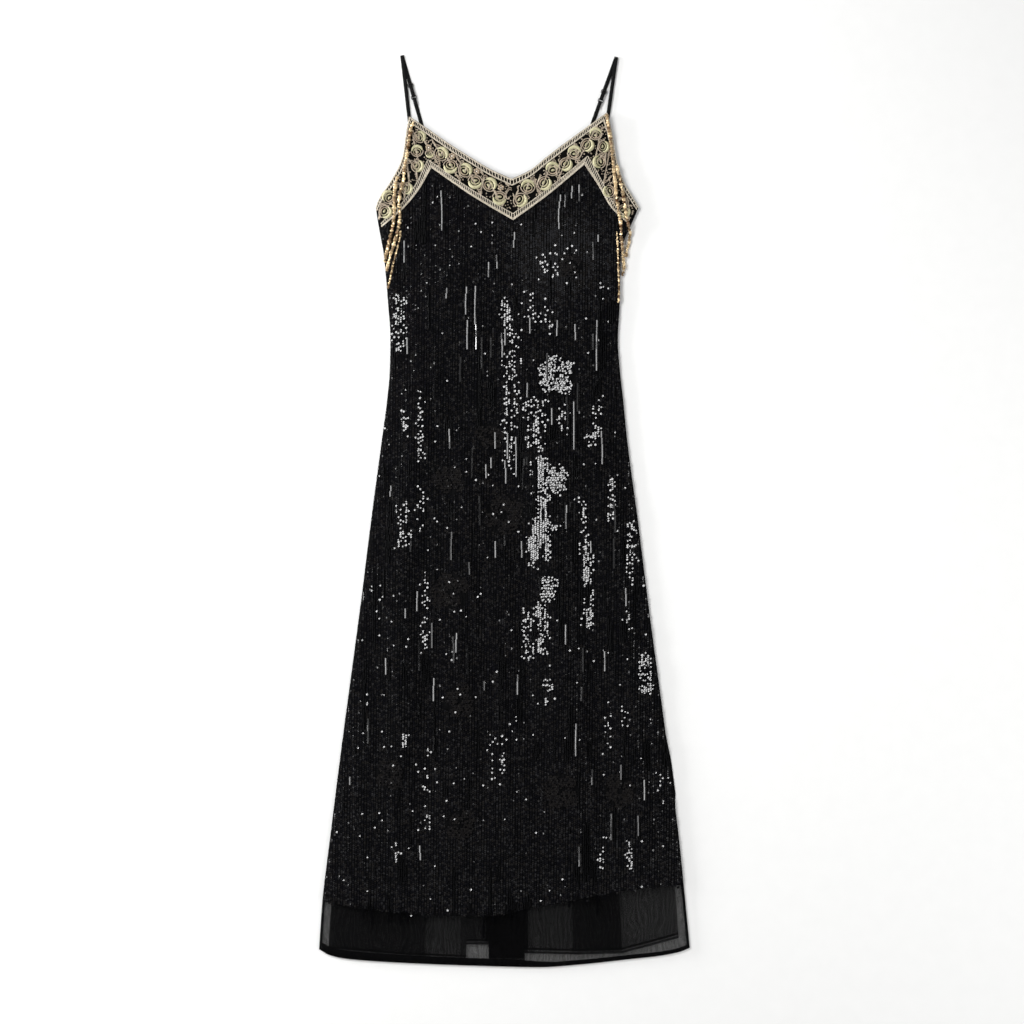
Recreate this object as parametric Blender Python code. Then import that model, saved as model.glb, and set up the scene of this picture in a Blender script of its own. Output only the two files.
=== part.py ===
"""A black beaded slip dress with thin straps, laid flat on its back.

It lies along Y with its straps towards +Y. Its back is on z = 0 and its front is up.
The origin is under the middle of its length and of its width. All sizes are in metres.
"""

import math
from collections import namedtuple

import bmesh
import bpy
import numpy as np

# Walls of cloth, and the gaps that keep the pieces apart
BACK_WALL = 0.0012
LINING_WALL = 0.0010
CHIFFON_WALL = 0.0010
BEADED_WALL = 0.0018
TRIM_WALL = 0.0010
SEAM_GAP = 0.0003
TRIM_GAP = 0.0004

# Side seams from hem to underarm, and the armholes from underarm to strap
Edge = namedtuple("Edge", "height left right")
SIDE_SEAMS = (
    Edge(-0.657, -0.278, 0.278),
    Edge(-0.584, -0.273, 0.271),
    Edge(-0.494, -0.262, 0.262),
    Edge(-0.374, -0.247, 0.247),
    Edge(-0.134, -0.215, 0.215),
    Edge(-0.014, -0.200, 0.200),
    Edge(0.106, -0.184, 0.184),
    Edge(0.166, -0.176, 0.178),
    Edge(0.211, -0.172, 0.173),
    Edge(0.256, -0.171, 0.170),
    Edge(0.316, -0.175, 0.173),
    Edge(0.384, -0.181, 0.174),
    Edge(0.407, -0.185, 0.180),
    Edge(0.429, -0.189, 0.190),
    Edge(0.455, -0.193, 0.201),
)
ARMHOLES = (
    Edge(0.455, -0.193, 0.201),
    Edge(0.474, -0.185, 0.190),
    Edge(0.489, -0.174, 0.181),
    Edge(0.504, -0.165, 0.175),
    Edge(0.519, -0.157, 0.170),
    Edge(0.534, -0.152, 0.167),
    Edge(0.564, -0.148, 0.162),
    Edge(0.592, -0.143, 0.156),
    Edge(0.598, -0.142, 0.154),
)

# Edges that run across the dress: the hem, the end of the beading, and the neckline
Across = namedtuple("Across", "place height")
HEM = (
    Across(-0.278, -0.657),
    Across(-0.262, -0.666),
    Across(-0.232, -0.672),
    Across(-0.142, -0.678),
    Across(-0.037, -0.682),
    Across(0.053, -0.684),
    Across(0.113, -0.680),
    Across(0.188, -0.672),
    Across(0.233, -0.667),
    Across(0.263, -0.661),
    Across(0.278, -0.655),
)
BEADING_END = (
    Across(-0.275, -0.584),
    Across(-0.214, -0.597),
    Across(-0.175, -0.601),
    Across(-0.097, -0.606),
    Across(-0.019, -0.607),
    Across(0.032, -0.597),
    Across(0.079, -0.588),
    Across(0.137, -0.577),
    Across(0.196, -0.567),
    Across(0.272, -0.560),
)
NECK_LEFT = (
    Across(-0.143, 0.592),
    Across(-0.112, 0.571),
    Across(-0.082, 0.550),
    Across(-0.052, 0.531),
    Across(-0.022, 0.513),
    Across(0.011, 0.498),
)
NECK_RIGHT = (
    Across(0.011, 0.498),
    Across(0.040, 0.512),
    Across(0.061, 0.529),
    Across(0.083, 0.546),
    Across(0.113, 0.568),
    Across(0.154, 0.598),
)

# The back's top edge lies lower than the front's, so the front hides it
BACK_TOP = (
    Across(-0.192, 0.449),
    Across(-0.150, 0.456),
    Across(-0.096, 0.480),
    Across(0.002, 0.466),
    Across(0.096, 0.480),
    Across(0.155, 0.456),
    Across(0.200, 0.449),
)

# The back seam slips out past the right side over this stretch
SLIP_LOW = -0.437
SLIP_HIGH = -0.330
SLIP_OUT = 0.003
SLIP_FADE = 0.050
SLIP_STEP = 0.004
SLIP_SHARE = 0.9

# The lining's hem, which shows through the sheer hem, with its step and its fold
LINING_TOP = -0.545
LINING_INSET = 0.012
LINING_BACK_SHORTER = 0.005
LINING_HEM = (
    Across(-0.264, -0.656),
    Across(-0.150, -0.664),
    Across(-0.058, -0.667),
    Across(-0.057, -0.650),
    Across(-0.023, -0.649),
    Across(0.005, -0.653),
    Across(0.034, -0.650),
    Across(0.036, -0.665),
    Across(0.110, -0.666),
    Across(0.176, -0.664),
    Across(0.222, -0.652),
    Across(0.262, -0.640),
)
LINING_FOLD_LEFT = -0.024
LINING_FOLD_RIGHT = 0.035
LINING_FOLD_WALL = 0.0015
LINING_COLUMNS = 22
LINING_STEP = 0.001

# How high the front's inner face lies over the floor: at its seams, at its free edges
# under the trims, inside the bodice and skirt, and over the lining
SEAM_LEVEL = BACK_WALL + SEAM_GAP
FREE_EDGE_LEVEL = 0.0026
BODY_LEVEL = 0.0050
ROLL_WIDTH = 0.014
HEM_ROLL_WIDTH = 0.012
UNDERARM = 0.455
UNDERARM_SHIFT = 0.004
UNDERARM_BLEND = 0.030
NECK_SLOPE = 0.84
ARM_SLOPE = 0.92
BEADING_FADE = 0.004

# Largest folds of the front: each runs down from its top through a middle to its foot
Fold = namedtuple("Fold", "top_x top middle_x middle foot_x foot width rise")
FOLDS = (
    Fold(-0.075, 0.395, -0.082, 0.330, -0.084, 0.255, 0.046, 0.0050),
    Fold(0.088, 0.398, 0.092, 0.335, 0.090, 0.262, 0.044, 0.0046),
    Fold(-0.130, 0.300, -0.152, -0.080, -0.176, -0.520, 0.024, 0.0050),
    Fold(0.018, 0.340, 0.066, -0.020, 0.104, -0.560, 0.032, 0.0062),
    Fold(0.128, 0.140, 0.178, -0.200, 0.214, -0.575, 0.026, 0.0052),
    Fold(-0.052, 0.210, -0.066, -0.140, -0.078, -0.600, 0.028, 0.0040),
    Fold(-0.010, 0.060, -0.004, -0.220, 0.012, -0.610, 0.020, 0.0030),
    Fold(-0.205, -0.180, -0.222, -0.400, -0.236, -0.630, 0.018, 0.0030),
    Fold(0.150, 0.290, 0.128, 0.230, 0.096, 0.165, 0.014, 0.0020),
    Fold(-0.148, 0.285, -0.122, 0.228, -0.092, 0.170, 0.014, 0.0018),
)

# How the folds fade: at their feet and tops as shares of their length, and near the edges
FOLD_FOOT_FADE = 0.22
FOLD_TOP_FADE = 0.30
SEAM_FLAT = 0.004
FOLD_SIDE_FADE = 0.040
FOLD_HEM_FADE = 0.030
BUST_HEIGHT = 0.40

# The front's grid of cells
ARMHOLE_SHARES = (0.0, 0.007, 0.021, 0.048, 0.085, 0.122, 0.160)
ARMHOLE_UPS = (0.0, 0.12, 0.26, 0.42, 0.60, 0.80, 1.0)
NECK_COLUMNS = 9
HEM_LINES = (0.0, 0.055, 0.13, 0.36, 0.68, 1.0)
BODY_ROWS = 42
STRAP_SHARE = ARMHOLE_SHARES[-1]
NECK_POINT_SHARE = 0.52
LEAN_START = 0.330
BACK_COLUMNS = 14
BACK_ROWS = 26
LINING_ROWS = 2

# Jewelled bands along the neckline and armholes: inner edges as corners and a bow
BAND_WIDTH = 0.045
BAND_CELL = 0.0044
BAND_LINES = (0.0, 0.03, 0.19, 0.24, 0.32, 0.41, 0.50, 0.59, 0.68, 0.76, 0.81, 0.97, 1.0)
BAND_MIDDLE_LINE = 6
MITRE_GAP = 0.0002
BRAID_INNER = 0.20
BRAID_RISE = 0.0006
BRAID_FADE = 0.03
PAISLEY_REPEAT = 0.0433
PAISLEY_RADIUS = 0.0080
PAISLEY_HALF_WIDTH = 0.0030
PAISLEY_SPREAD = 0.6
PAISLEY_OFFSET = 0.0045
PAISLEY_RISE = 0.0008
PAISLEY_TIP = 0.35
PAISLEY_TURN = 0.4
INNER_APEX_LEFT = (-0.109, 0.513)
INNER_APEX_RIGHT = (0.119, 0.518)
INNER_NECK_POINT = (0.013, 0.435)
INNER_BOW = 0.003
ARM_INNER_LEFT = ((-0.109, 0.513), (-0.127, 0.482), (-0.150, 0.454), (-0.184, 0.425))
ARM_INNER_RIGHT = ((0.119, 0.518), (0.142, 0.484), (0.160, 0.454), (0.184, 0.431))

# Straps: a flat band from the front's point up to its fold, and down behind to a ring
STRAP_WIDTH = 0.0056
STRAP_WALL = 0.0010
STRAP_LOW = STRAP_WALL / 2
STRAP_HIGH = STRAP_LOW + STRAP_WALL + SEAM_GAP
TURN_STEPS = 6
HARDWARE_WALL = 0.0010
HARDWARE_LOW = 0.0014
RING_HOLE_LENGTH = 0.0038
RING_HOLE_WIDTH = 0.0066
RING_BAR = 0.0010
SLIDE_LENGTH = 0.0066
RING_CORNER = 0.0017
SLOT_CORNER = 0.0007
WRAP_RADIUS = 0.0014
TAB_RETURN = 0.010
TAB_ON_BACK = 0.014
TAB_STEP_START = 0.012
TAB_STEP_END = 0.002
Strap = namedtuple("Strap", "side foot apex seat slide_at ring_at")
STRAPS = (
    Strap("left", (-0.1418, 0.580), (-0.1535, 0.6835), (-0.0960, 0.480), 0.0455, 0.0645),
    Strap("right", (0.1542, 0.585), (0.1675, 0.681), (0.0955, 0.480), 0.0545, 0.0685),
)

# Strings of gold beads from the strap points down to the side seams, as route points
STRAND_WIDTH = 0.0040
FINE_STRAND_WIDTH = 0.0024
STRAND_STEP = 2.2
LONG_LEFT = (
    (-0.1373, 0.5820, 0.0089),
    (-0.1407, 0.5700, 0.0089),
    (-0.1427, 0.5595, 0.0089),
    (-0.1447, 0.5445, 0.0089),
    (-0.1470, 0.5295, 0.0092),
    (-0.1492, 0.5160, 0.0096),
    (-0.1507, 0.5025, 0.0098),
    (-0.1526, 0.4905, 0.0100),
    (-0.1560, 0.4770, 0.0101),
    (-0.1580, 0.4635, 0.0105),
    (-0.1568, 0.4455, 0.0105),
    (-0.1577, 0.4305, 0.0093),
    (-0.1613, 0.4140, 0.0092),
    (-0.1673, 0.3945, 0.0092),
    (-0.1738, 0.3720, 0.0085),
    (-0.1765, 0.3610, 0.0078),
)
SHORT_LEFT = (
    (-0.1606, 0.4995, 0.0088),
    (-0.1632, 0.4900, 0.0090),
    (-0.1643, 0.4800, 0.0096),
    (-0.1650, 0.4700, 0.0098),
    (-0.1652, 0.4590, 0.0100),
    (-0.1650, 0.4522, 0.0106),
    (-0.1650, 0.4455, 0.0110),
    (-0.1662, 0.4335, 0.0096),
    (-0.1674, 0.4267, 0.0093),
    (-0.1688, 0.4200, 0.0092),
    (-0.1714, 0.4080, 0.0092),
    (-0.1742, 0.3970, 0.0089),
    (-0.1768, 0.3860, 0.0085),
    (-0.1781, 0.3800, 0.0078),
    (-0.1793, 0.3740, 0.0069),
)
FINE_LEFT = (
    (-0.1558, 0.4180, 0.0083),
    (-0.1568, 0.4100, 0.0083),
    (-0.1580, 0.4045, 0.0083),
    (-0.1594, 0.3990, 0.0083),
    (-0.1607, 0.3935, 0.0083),
    (-0.1620, 0.3880, 0.0083),
    (-0.1635, 0.3823, 0.0082),
    (-0.1650, 0.3765, 0.0082),
    (-0.1664, 0.3703, 0.0082),
    (-0.1678, 0.3640, 0.0082),
    (-0.1692, 0.3575, 0.0082),
    (-0.1706, 0.3510, 0.0080),
    (-0.1718, 0.3460, 0.0077),
    (-0.1730, 0.3410, 0.0074),
    (-0.1746, 0.3345, 0.0069),
)
LONG_RIGHT = (
    (0.1531, 0.5925, 0.0090),
    (0.1552, 0.5790, 0.0089),
    (0.1583, 0.5610, 0.0089),
    (0.1607, 0.5430, 0.0089),
    (0.1628, 0.5220, 0.0092),
    (0.1643, 0.5055, 0.0095),
    (0.1663, 0.4890, 0.0096),
    (0.1678, 0.4680, 0.0098),
    (0.1706, 0.4500, 0.0110),
    (0.1738, 0.4320, 0.0096),
    (0.1747, 0.4140, 0.0090),
    (0.1763, 0.3990, 0.0070),
    (0.1772, 0.3880, 0.0048),
    (0.1784, 0.3765, 0.0028),
    (0.1790, 0.3670, 0.0024),
    (0.1768, 0.3540, 0.0024),
)
SHORT_RIGHT = (
    (0.1683, 0.5160, 0.0089),
    (0.1701, 0.5085, 0.0089),
    (0.1718, 0.5010, 0.0090),
    (0.1748, 0.4880, 0.0094),
    (0.1772, 0.4785, 0.0096),
    (0.1785, 0.4710, 0.0095),
    (0.1796, 0.4635, 0.0095),
    (0.1812, 0.4500, 0.0101),
    (0.1832, 0.4385, 0.0110),
    (0.1856, 0.4290, 0.0103),
    (0.1874, 0.4210, 0.0064),
    (0.1880, 0.4130, 0.0036),
    (0.1866, 0.4035, 0.0027),
    (0.1844, 0.3930, 0.0024),
    (0.1824, 0.3835, 0.0024),
)
FINE_RIGHT = (
    (0.1682, 0.4180, 0.0083),
    (0.1690, 0.4065, 0.0083),
    (0.1693, 0.4003, 0.0081),
    (0.1696, 0.3940, 0.0079),
    (0.1699, 0.3825, 0.0075),
    (0.1701, 0.3762, 0.0073),
    (0.1703, 0.3700, 0.0072),
    (0.1705, 0.3640, 0.0071),
    (0.1708, 0.3580, 0.0070),
    (0.1713, 0.3465, 0.0068),
    (0.1715, 0.3403, 0.0066),
    (0.1716, 0.3340, 0.0065),
    (0.1716, 0.3280, 0.0065),
    (0.1714, 0.3220, 0.0066),
    (0.1706, 0.3135, 0.0068),
)
STRANDS = {
    "bead_strand_long_left": (STRAND_WIDTH, LONG_LEFT),
    "bead_strand_short_left": (STRAND_WIDTH, SHORT_LEFT),
    "bead_strand_fine_left": (FINE_STRAND_WIDTH, FINE_LEFT),
    "bead_strand_long_right": (STRAND_WIDTH, LONG_RIGHT),
    "bead_strand_short_right": (STRAND_WIDTH, SHORT_RIGHT),
    "bead_strand_fine_right": (FINE_STRAND_WIDTH, FINE_RIGHT),
}

FINISHES = {
    "beaded_cloth": ((0.010, 0.010, 0.013), 0.32, 0.0),
    "chiffon": ((0.020, 0.020, 0.022), 0.80, 0.0),
    "gold_trim": ((0.52, 0.44, 0.30), 0.45, 0.3),
    "black_strap": ((0.012, 0.012, 0.013), 0.60, 0.0),
    "black_hardware": ((0.008, 0.008, 0.008), 0.25, 0.0),
    "gold_beads": ((0.60, 0.42, 0.22), 0.25, 0.8),
}


def ease(value):
    """0 to 1 with soft ends."""
    value = np.clip(value, 0.0, 1.0)
    return value * value * (3.0 - 2.0 * value)


def hermite(knots, values, tangents, at):
    knots = np.asarray(knots, float)
    values = np.asarray(values, float)
    at = np.clip(np.asarray(at, float), knots[0], knots[-1])
    spans = np.diff(knots)
    i = np.clip(np.searchsorted(knots, at, side="right") - 1, 0, len(spans) - 1)
    t = (at - knots[i]) / spans[i]
    start = (2 * t**3 - 3 * t**2 + 1) * values[i] + (t**3 - 2 * t**2 + t) * spans[i] * tangents[i]
    end = (3 * t**2 - 2 * t**3) * values[i + 1] + (t**3 - t**2) * spans[i] * tangents[i + 1]
    return start + end


def read(rows, along, wanted, at):
    """Reads one column of a table at places of another, on a curve that never overshoots its rows."""
    knots = np.array([getattr(row, along) for row in rows])
    values = np.array([getattr(row, wanted) for row in rows])
    slopes = np.diff(values) / np.diff(knots)
    bends = slopes[:-1] * slopes[1:]
    tangents = np.concatenate(([slopes[0]], np.zeros(len(rows) - 2), [slopes[-1]]))
    same_way = bends > 0
    tangents[1:-1][same_way] = 2 * bends[same_way] / (slopes[:-1] + slopes[1:])[same_way]
    return hermite(knots, values, tangents, at)


def through(route, at):
    """Points at shares 0 to 1 of the length of a smooth curve through a few points."""
    route = np.array(route, float)
    steps = np.linalg.norm(np.diff(route, axis=0), axis=1)
    knots = np.concatenate(([0.0], np.cumsum(steps)))
    tangents = np.gradient(route, knots, axis=0)
    at = np.asarray(at, float) * knots[-1]
    places = [hermite(knots, route[:, k], tangents[:, k], at) for k in range(route.shape[1])]
    return np.stack(places, axis=-1)


def side_edge(height, side):
    """Outline of the front at a height, on its side seam or its armhole."""
    seam = read(SIDE_SEAMS, "height", side, height)
    arm = read(ARMHOLES, "height", side, height)
    return np.where(np.asarray(height) > UNDERARM, arm, seam)


def neck_edge(place):
    """Height of the neckline at a place across the dress."""
    left = read(NECK_LEFT, "place", "height", place)
    right = read(NECK_RIGHT, "place", "height", place)
    return np.where(np.asarray(place) < NECK_LEFT[-1].place, left, right)


def across(share, height):
    """Place at a share of the width between the side seams."""
    left = read(SIDE_SEAMS, "height", "left", height)
    right = read(SIDE_SEAMS, "height", "right", height)
    return left + share * (right - left)


def roll(distance, width):
    """A round edge: 0 at the edge, 1 from its width inwards."""
    inside = np.clip(distance / width, 0.0, 1.0)
    return np.sqrt(np.clip(1.0 - (1.0 - inside) ** 2, 0.0, 1.0))


def fold_height(x, y):
    """Height that the large folds add to the front."""
    total = np.zeros_like(x)
    for fold in FOLDS:
        knots = (fold.foot, fold.middle, fold.top)
        places = (fold.foot_x, fold.middle_x, fold.top_x)
        slopes = np.gradient(np.array(places), np.array(knots))
        centre = hermite(knots, places, slopes, y)
        run = (y - fold.foot) / (fold.top - fold.foot)
        fade = ease(run / FOLD_FOOT_FADE) * ease((1.0 - run) / FOLD_TOP_FADE)
        total += fold.rise * fade * np.exp(-(((x - centre) / fold.width) ** 2))
    return total


def front_level(x, y):
    """Height of the front's inner face over the floor."""
    left = x - side_edge(y, "left")
    right = side_edge(y, "right") - x
    side = np.minimum(left, right)
    hem = y - read(HEM, "place", "height", x)
    neck = (neck_edge(x) - y) * NECK_SLOPE
    below = ease((UNDERARM + UNDERARM_SHIFT - y) / UNDERARM_BLEND)
    seamed = SEAM_LEVEL + (BODY_LEVEL - SEAM_LEVEL) * roll(side, ROLL_WIDTH) * roll(hem, HEM_ROLL_WIDTH)
    free = np.clip(np.minimum(side * ARM_SLOPE, neck) / BAND_WIDTH, 0.0, 1.0)
    loose = FREE_EDGE_LEVEL + (BODY_LEVEL - FREE_EDGE_LEVEL) * free
    near_edge = ease((side - SEAM_FLAT) / FOLD_SIDE_FADE) * ease(hem / FOLD_HEM_FADE)
    under_band = ease((np.minimum(side, neck) - BAND_WIDTH) / FOLD_HEM_FADE)
    folds = fold_height(x, y) * np.where(y > BUST_HEIGHT, under_band, near_edge)
    return below * seamed + (1.0 - below) * loose + folds


def beaded(x, y):
    """1 over the beading and 0 on the sheer hem."""
    edge = read(BEADING_END, "place", "height", x)
    return ease((y - edge) / BEADING_FADE + 0.5)


def front_top(x, y):
    wall = CHIFFON_WALL + (BEADED_WALL - CHIFFON_WALL) * beaded(x, y)
    return front_level(x, y) + wall


def material(name):
    colour, roughness, metallic = FINISHES[name]
    made = bpy.data.materials.get(name) or bpy.data.materials.new(name)
    made.use_nodes = True
    shader = made.node_tree.nodes["Principled BSDF"]
    shader.inputs["Base Color"].default_value = (*colour, 1.0)
    shader.inputs["Roughness"].default_value = roughness
    shader.inputs["Metallic"].default_value = metallic
    return made


def add_object(name, data, finish):
    made = bpy.data.objects.new(name, data)
    data.materials.append(material(finish))
    bpy.context.scene.collection.objects.link(made)
    return made


def sheet(inner):
    """A flat grid of cells with its vertices on the given rows of points."""
    rows, columns = inner.shape[:2]
    mesh = bmesh.new()
    bmesh.ops.create_grid(mesh, x_segments=columns - 1, y_segments=rows - 1, size=1.0)
    cell = {}
    for vert in mesh.verts:
        i = round((vert.co.x + 1.0) / 2.0 * (columns - 1))
        j = round((vert.co.y + 1.0) / 2.0 * (rows - 1))
        cell[vert] = (j, i)
    for vert, (j, i) in cell.items():
        vert.co = inner[j, i]
    return mesh, cell


def wall(name, inner, outer, finish, plain_lines=None):
    """A closed wall from an inner to an outer grid of points.

    plain_lines keeps only those lengthwise lines of the inner face.
    """
    mesh, cell = sheet(inner)
    low_faces = set(mesh.faces)
    order = {vert.co.to_tuple(7): place for vert, place in cell.items()}
    grown = bmesh.ops.extrude_face_region(mesh, geom=list(mesh.faces))
    for vert in grown["geom"]:
        if isinstance(vert, bmesh.types.BMVert):
            vert.co = outer[order[vert.co.to_tuple(7)]]
    if plain_lines is not None:
        spare = []
        for edge in mesh.edges:
            if not all(face in low_faces for face in edge.link_faces):
                continue
            lines = {cell[vert][1] for vert in edge.verts if vert in cell}
            if len(lines) == 1 and not lines & set(plain_lines):
                spare.append(edge)
        bmesh.ops.dissolve_edges(mesh, edges=spare, use_verts=True)
    bmesh.ops.recalc_face_normals(mesh, faces=mesh.faces)
    data = bpy.data.meshes.new(name)
    mesh.to_mesh(data)
    mesh.free()
    data.shade_smooth()
    data.set_sharp_from_angle(angle=math.radians(40.0))
    return add_object(name, data, finish)


def grid_points(x, y, z):
    return np.stack(np.broadcast_arrays(x, y, z), axis=-1)


def front_plan():
    """Places of the front's grid, a row at a time from the hem up to neckline and armholes."""
    arm_heights = np.array(ARMHOLE_UPS)
    arm_shares = np.array(ARMHOLE_SHARES)
    steps = np.linspace(0.0, 1.0, NECK_COLUMNS + 1)
    tip_left = NECK_LEFT[0]
    tip_right = NECK_RIGHT[-1]
    up = UNDERARM + arm_heights * (tip_left.height - UNDERARM)
    down = UNDERARM + arm_heights[::-1] * (tip_right.height - UNDERARM)
    neck_left = tip_left.place + steps[1:] * (NECK_LEFT[-1].place - tip_left.place)
    neck_right = NECK_RIGHT[0].place + steps[1:] * (tip_right.place - NECK_RIGHT[0].place)
    neck = np.concatenate((neck_left, neck_right))
    arm_left = read(ARMHOLES, "height", "left", up)
    arm_right = read(ARMHOLES, "height", "right", down)
    top_x = np.concatenate((arm_left, neck, arm_right[1:]))
    top_y = np.concatenate((up, neck_edge(neck), down[1:]))
    share = np.concatenate(
        (
            arm_shares,
            STRAP_SHARE + steps[1:] * (NECK_POINT_SHARE - STRAP_SHARE),
            NECK_POINT_SHARE + steps[1:] * (1.0 - STRAP_SHARE - NECK_POINT_SHARE),
            1.0 - arm_shares[::-1][1:],
        )
    )
    hem_y = read(HEM, "place", "height", across(share, HEM[0].height))
    bead_y = read(BEADING_END, "place", "height", across(share, BEADING_END[0].height))
    low = np.array(HEM_LINES)[:, None]
    high = np.linspace(0.0, 1.0, BODY_ROWS + 1)[1:, None]
    low_y = hem_y + (bead_y - hem_y) * low
    high_y = bead_y + (top_y - bead_y) * high
    lean = ease((high_y - LEAN_START) / (top_y - LEAN_START))
    high_x = across(share, high_y) + lean * (top_x - across(share, top_y))
    x = np.concatenate((across(share, low_y), high_x))
    y = np.concatenate((low_y, high_y))
    return x, y


def front_panel():
    x, y = front_plan()
    low = front_level(x, y)
    return wall("front_panel", grid_points(x, y, low), grid_points(x, y, front_top(x, y)), "beaded_cloth")


def back_panel():
    share = np.linspace(0.0, 1.0, BACK_COLUMNS + 1)
    up = np.linspace(0.0, 1.0, BACK_ROWS + 1)[:, None]
    hem_y = read(HEM, "place", "height", across(share, HEM[0].height)) + SEAM_GAP
    top_y = read(BACK_TOP, "place", "height", across(share, BACK_TOP[0].height))
    y = hem_y + (top_y - hem_y) * up
    slip = SLIP_OUT * ease((SLIP_HIGH - y) / SLIP_FADE) * ease((y - SLIP_LOW) / SLIP_STEP)
    x = across(share, y) + slip * ease((share - SLIP_SHARE) / (1.0 - SLIP_SHARE))
    return wall("back_panel", grid_points(x, y, 0.0), grid_points(x, y, BACK_WALL), "beaded_cloth")


def lining_piece(name, level, shorter, fold_wall):
    """One layer of the lining's hem. Its columns include both sides of each step in the hem."""
    spread = [row.place for row in LINING_HEM]
    extra = np.linspace(spread[0], spread[-1], LINING_COLUMNS)
    fold_sides = (LINING_FOLD_LEFT, LINING_FOLD_LEFT + LINING_STEP)
    kept = [place for place in extra if min(abs(place - other) for other in spread) > 4 * LINING_STEP]
    place = np.array(sorted(set(spread) | set(kept) | set(fold_sides)))
    hem_y = np.interp(place, spread, [row.height for row in LINING_HEM]) + shorter
    up = np.linspace(0.0, 1.0, LINING_ROWS + 1)[:, None]
    y = hem_y + (LINING_TOP - hem_y) * up
    side = across(0.0, y) + LINING_INSET
    narrow = side / (across(0.0, HEM[0].height) + LINING_INSET)
    x = place * narrow
    folded = (place > LINING_FOLD_LEFT + LINING_STEP / 2) & (place < LINING_FOLD_RIGHT)
    thick = np.where(folded, fold_wall, LINING_WALL)
    return wall(name, grid_points(x, y, level), grid_points(x, y, level + thick), "chiffon")


def band_relief(along, share):
    """Raised braids along both edges of a band, and a row of turned paisley crescents between."""
    edge = np.minimum(share, 1.0 - share)
    braid = BRAID_RISE * ease(edge / BRAID_FADE) * ease((BRAID_INNER - edge) / BRAID_FADE)
    middle = (share - 0.5) * BAND_WIDTH
    index = np.floor(along / (PAISLEY_REPEAT / 2.0))
    flip = np.where(index % 2 == 0, 1.0, -1.0)
    beside = along - (index + 0.5) * (PAISLEY_REPEAT / 2.0)
    away = middle - flip * PAISLEY_OFFSET
    radius = np.hypot(beside, away)
    turn = np.arctan2(away * flip, beside)
    taper = PAISLEY_TIP + (1.0 - PAISLEY_TIP) * (0.5 + 0.5 * np.sin(turn + PAISLEY_TURN))
    half_width = PAISLEY_HALF_WIDTH * (PAISLEY_SPREAD + taper)
    ring = ease(1.0 - np.abs(radius - PAISLEY_RADIUS) / half_width)
    return braid + PAISLEY_RISE * ring * taper * (edge > BRAID_INNER)


def band(name, outer_edge, inner_edge):
    """A jewelled band on the front, between two edges given as points from end to end."""
    cells = round(float(np.linalg.norm(np.diff(outer_edge, axis=0), axis=1).sum()) / BAND_CELL)
    share_along = np.linspace(0.0, 1.0, cells + 1)
    outside = through(outer_edge, share_along)
    inside = through(inner_edge, share_along)
    share = np.array(BAND_LINES)
    plan = outside[:, None, :] + (inside - outside)[:, None, :] * share[None, :, None]
    middle = plan[:, BAND_MIDDLE_LINE]
    steps = np.linalg.norm(np.diff(middle, axis=0), axis=1)
    along = np.concatenate(([0.0], np.cumsum(steps)))[:, None]
    x = plan[..., 0]
    y = plan[..., 1]
    low = front_top(x, y) + TRIM_GAP
    high = low + TRIM_WALL + band_relief(along, share[None, :])
    lines = (0, BAND_MIDDLE_LINE, len(BAND_LINES) - 1)
    return wall(name, grid_points(x, y, low), grid_points(x, y, high), "gold_trim", plain_lines=lines)


def neck_band(side, rows, apex, away):
    """away is -1 on the left and 1 on the right."""
    ends = np.array([(row.place, row.height) for row in rows])
    if away < 0:
        ends = ends[::-1]
    start = ends[0] + (away * MITRE_GAP, 0.0)
    finish = ends[-1] - (away * MITRE_GAP, -MITRE_GAP / 2)
    outer = np.concatenate(([start], ends[1:-1], [finish]))
    inner_start = np.array(INNER_NECK_POINT) + (away * MITRE_GAP, 0.0)
    inner_end = np.array(apex) - (away * MITRE_GAP, 0.0)
    middle = (inner_start + inner_end) / 2 - (0.0, INNER_BOW)
    return band(f"neck_trim_{side}", outer, np.array([inner_start, middle, inner_end]))


def armhole_band(side, inner_edge, tip, away):
    heights = np.linspace(tip[1], UNDERARM, 9)
    places = read(ARMHOLES, "height", side, heights)
    outer = np.stack((places, heights), axis=1)
    outer[0] = (tip[0] + away * MITRE_GAP, tip[1] - MITRE_GAP)
    inner = np.array(inner_edge)
    inner[0] += (away * MITRE_GAP * 1.5, -MITRE_GAP)
    return band(f"armhole_trim_{side}", outer, inner)


def ribbon(name, stations, directions, finish):
    """A flat strap along 3-D points. directions are its unit vectors across."""
    path = np.array(stations, float)
    across_it = np.array(directions, float)
    forward = np.gradient(path, axis=0)
    forward /= np.linalg.norm(forward, axis=1)[:, None]
    up = np.cross(forward, across_it)
    up /= np.linalg.norm(up, axis=1)[:, None]
    half = across_it * STRAP_WIDTH / 2
    face = np.stack((path - half, path + half), axis=1)
    lift = up[:, None, :] * STRAP_WALL / 2
    return wall(name, face - lift, face + lift, finish)


def half_turn(centre, plan_way, radius, from_level, to_level):
    """Stations round half a circle in the upright plane along plan_way, from one level to the other."""
    middle = (from_level + to_level) / 2
    sense = 1.0 if to_level > from_level else -1.0
    made = []
    for step in range(1, TURN_STEPS):
        angle = math.pi * step / TURN_STEPS
        out = radius * math.sin(angle)
        level = middle - sense * radius * math.cos(angle)
        made.append((centre[0] + plan_way[0] * out, centre[1] + plan_way[1] * out, level))
    return made


def strap_frame(strap):
    """The back part's start, its plan direction down the strap, and its direction across."""
    apex = np.array(strap.apex) - (0.0, STRAP_WALL / 2 + (STRAP_HIGH - STRAP_LOW) / 2)
    way = np.array(strap.seat) - apex
    way /= np.linalg.norm(way)
    return apex, way, np.array((-way[1], way[0]))


def spot(apex, way, distance, level):
    place = apex + way * distance
    return (place[0], place[1], level)


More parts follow.
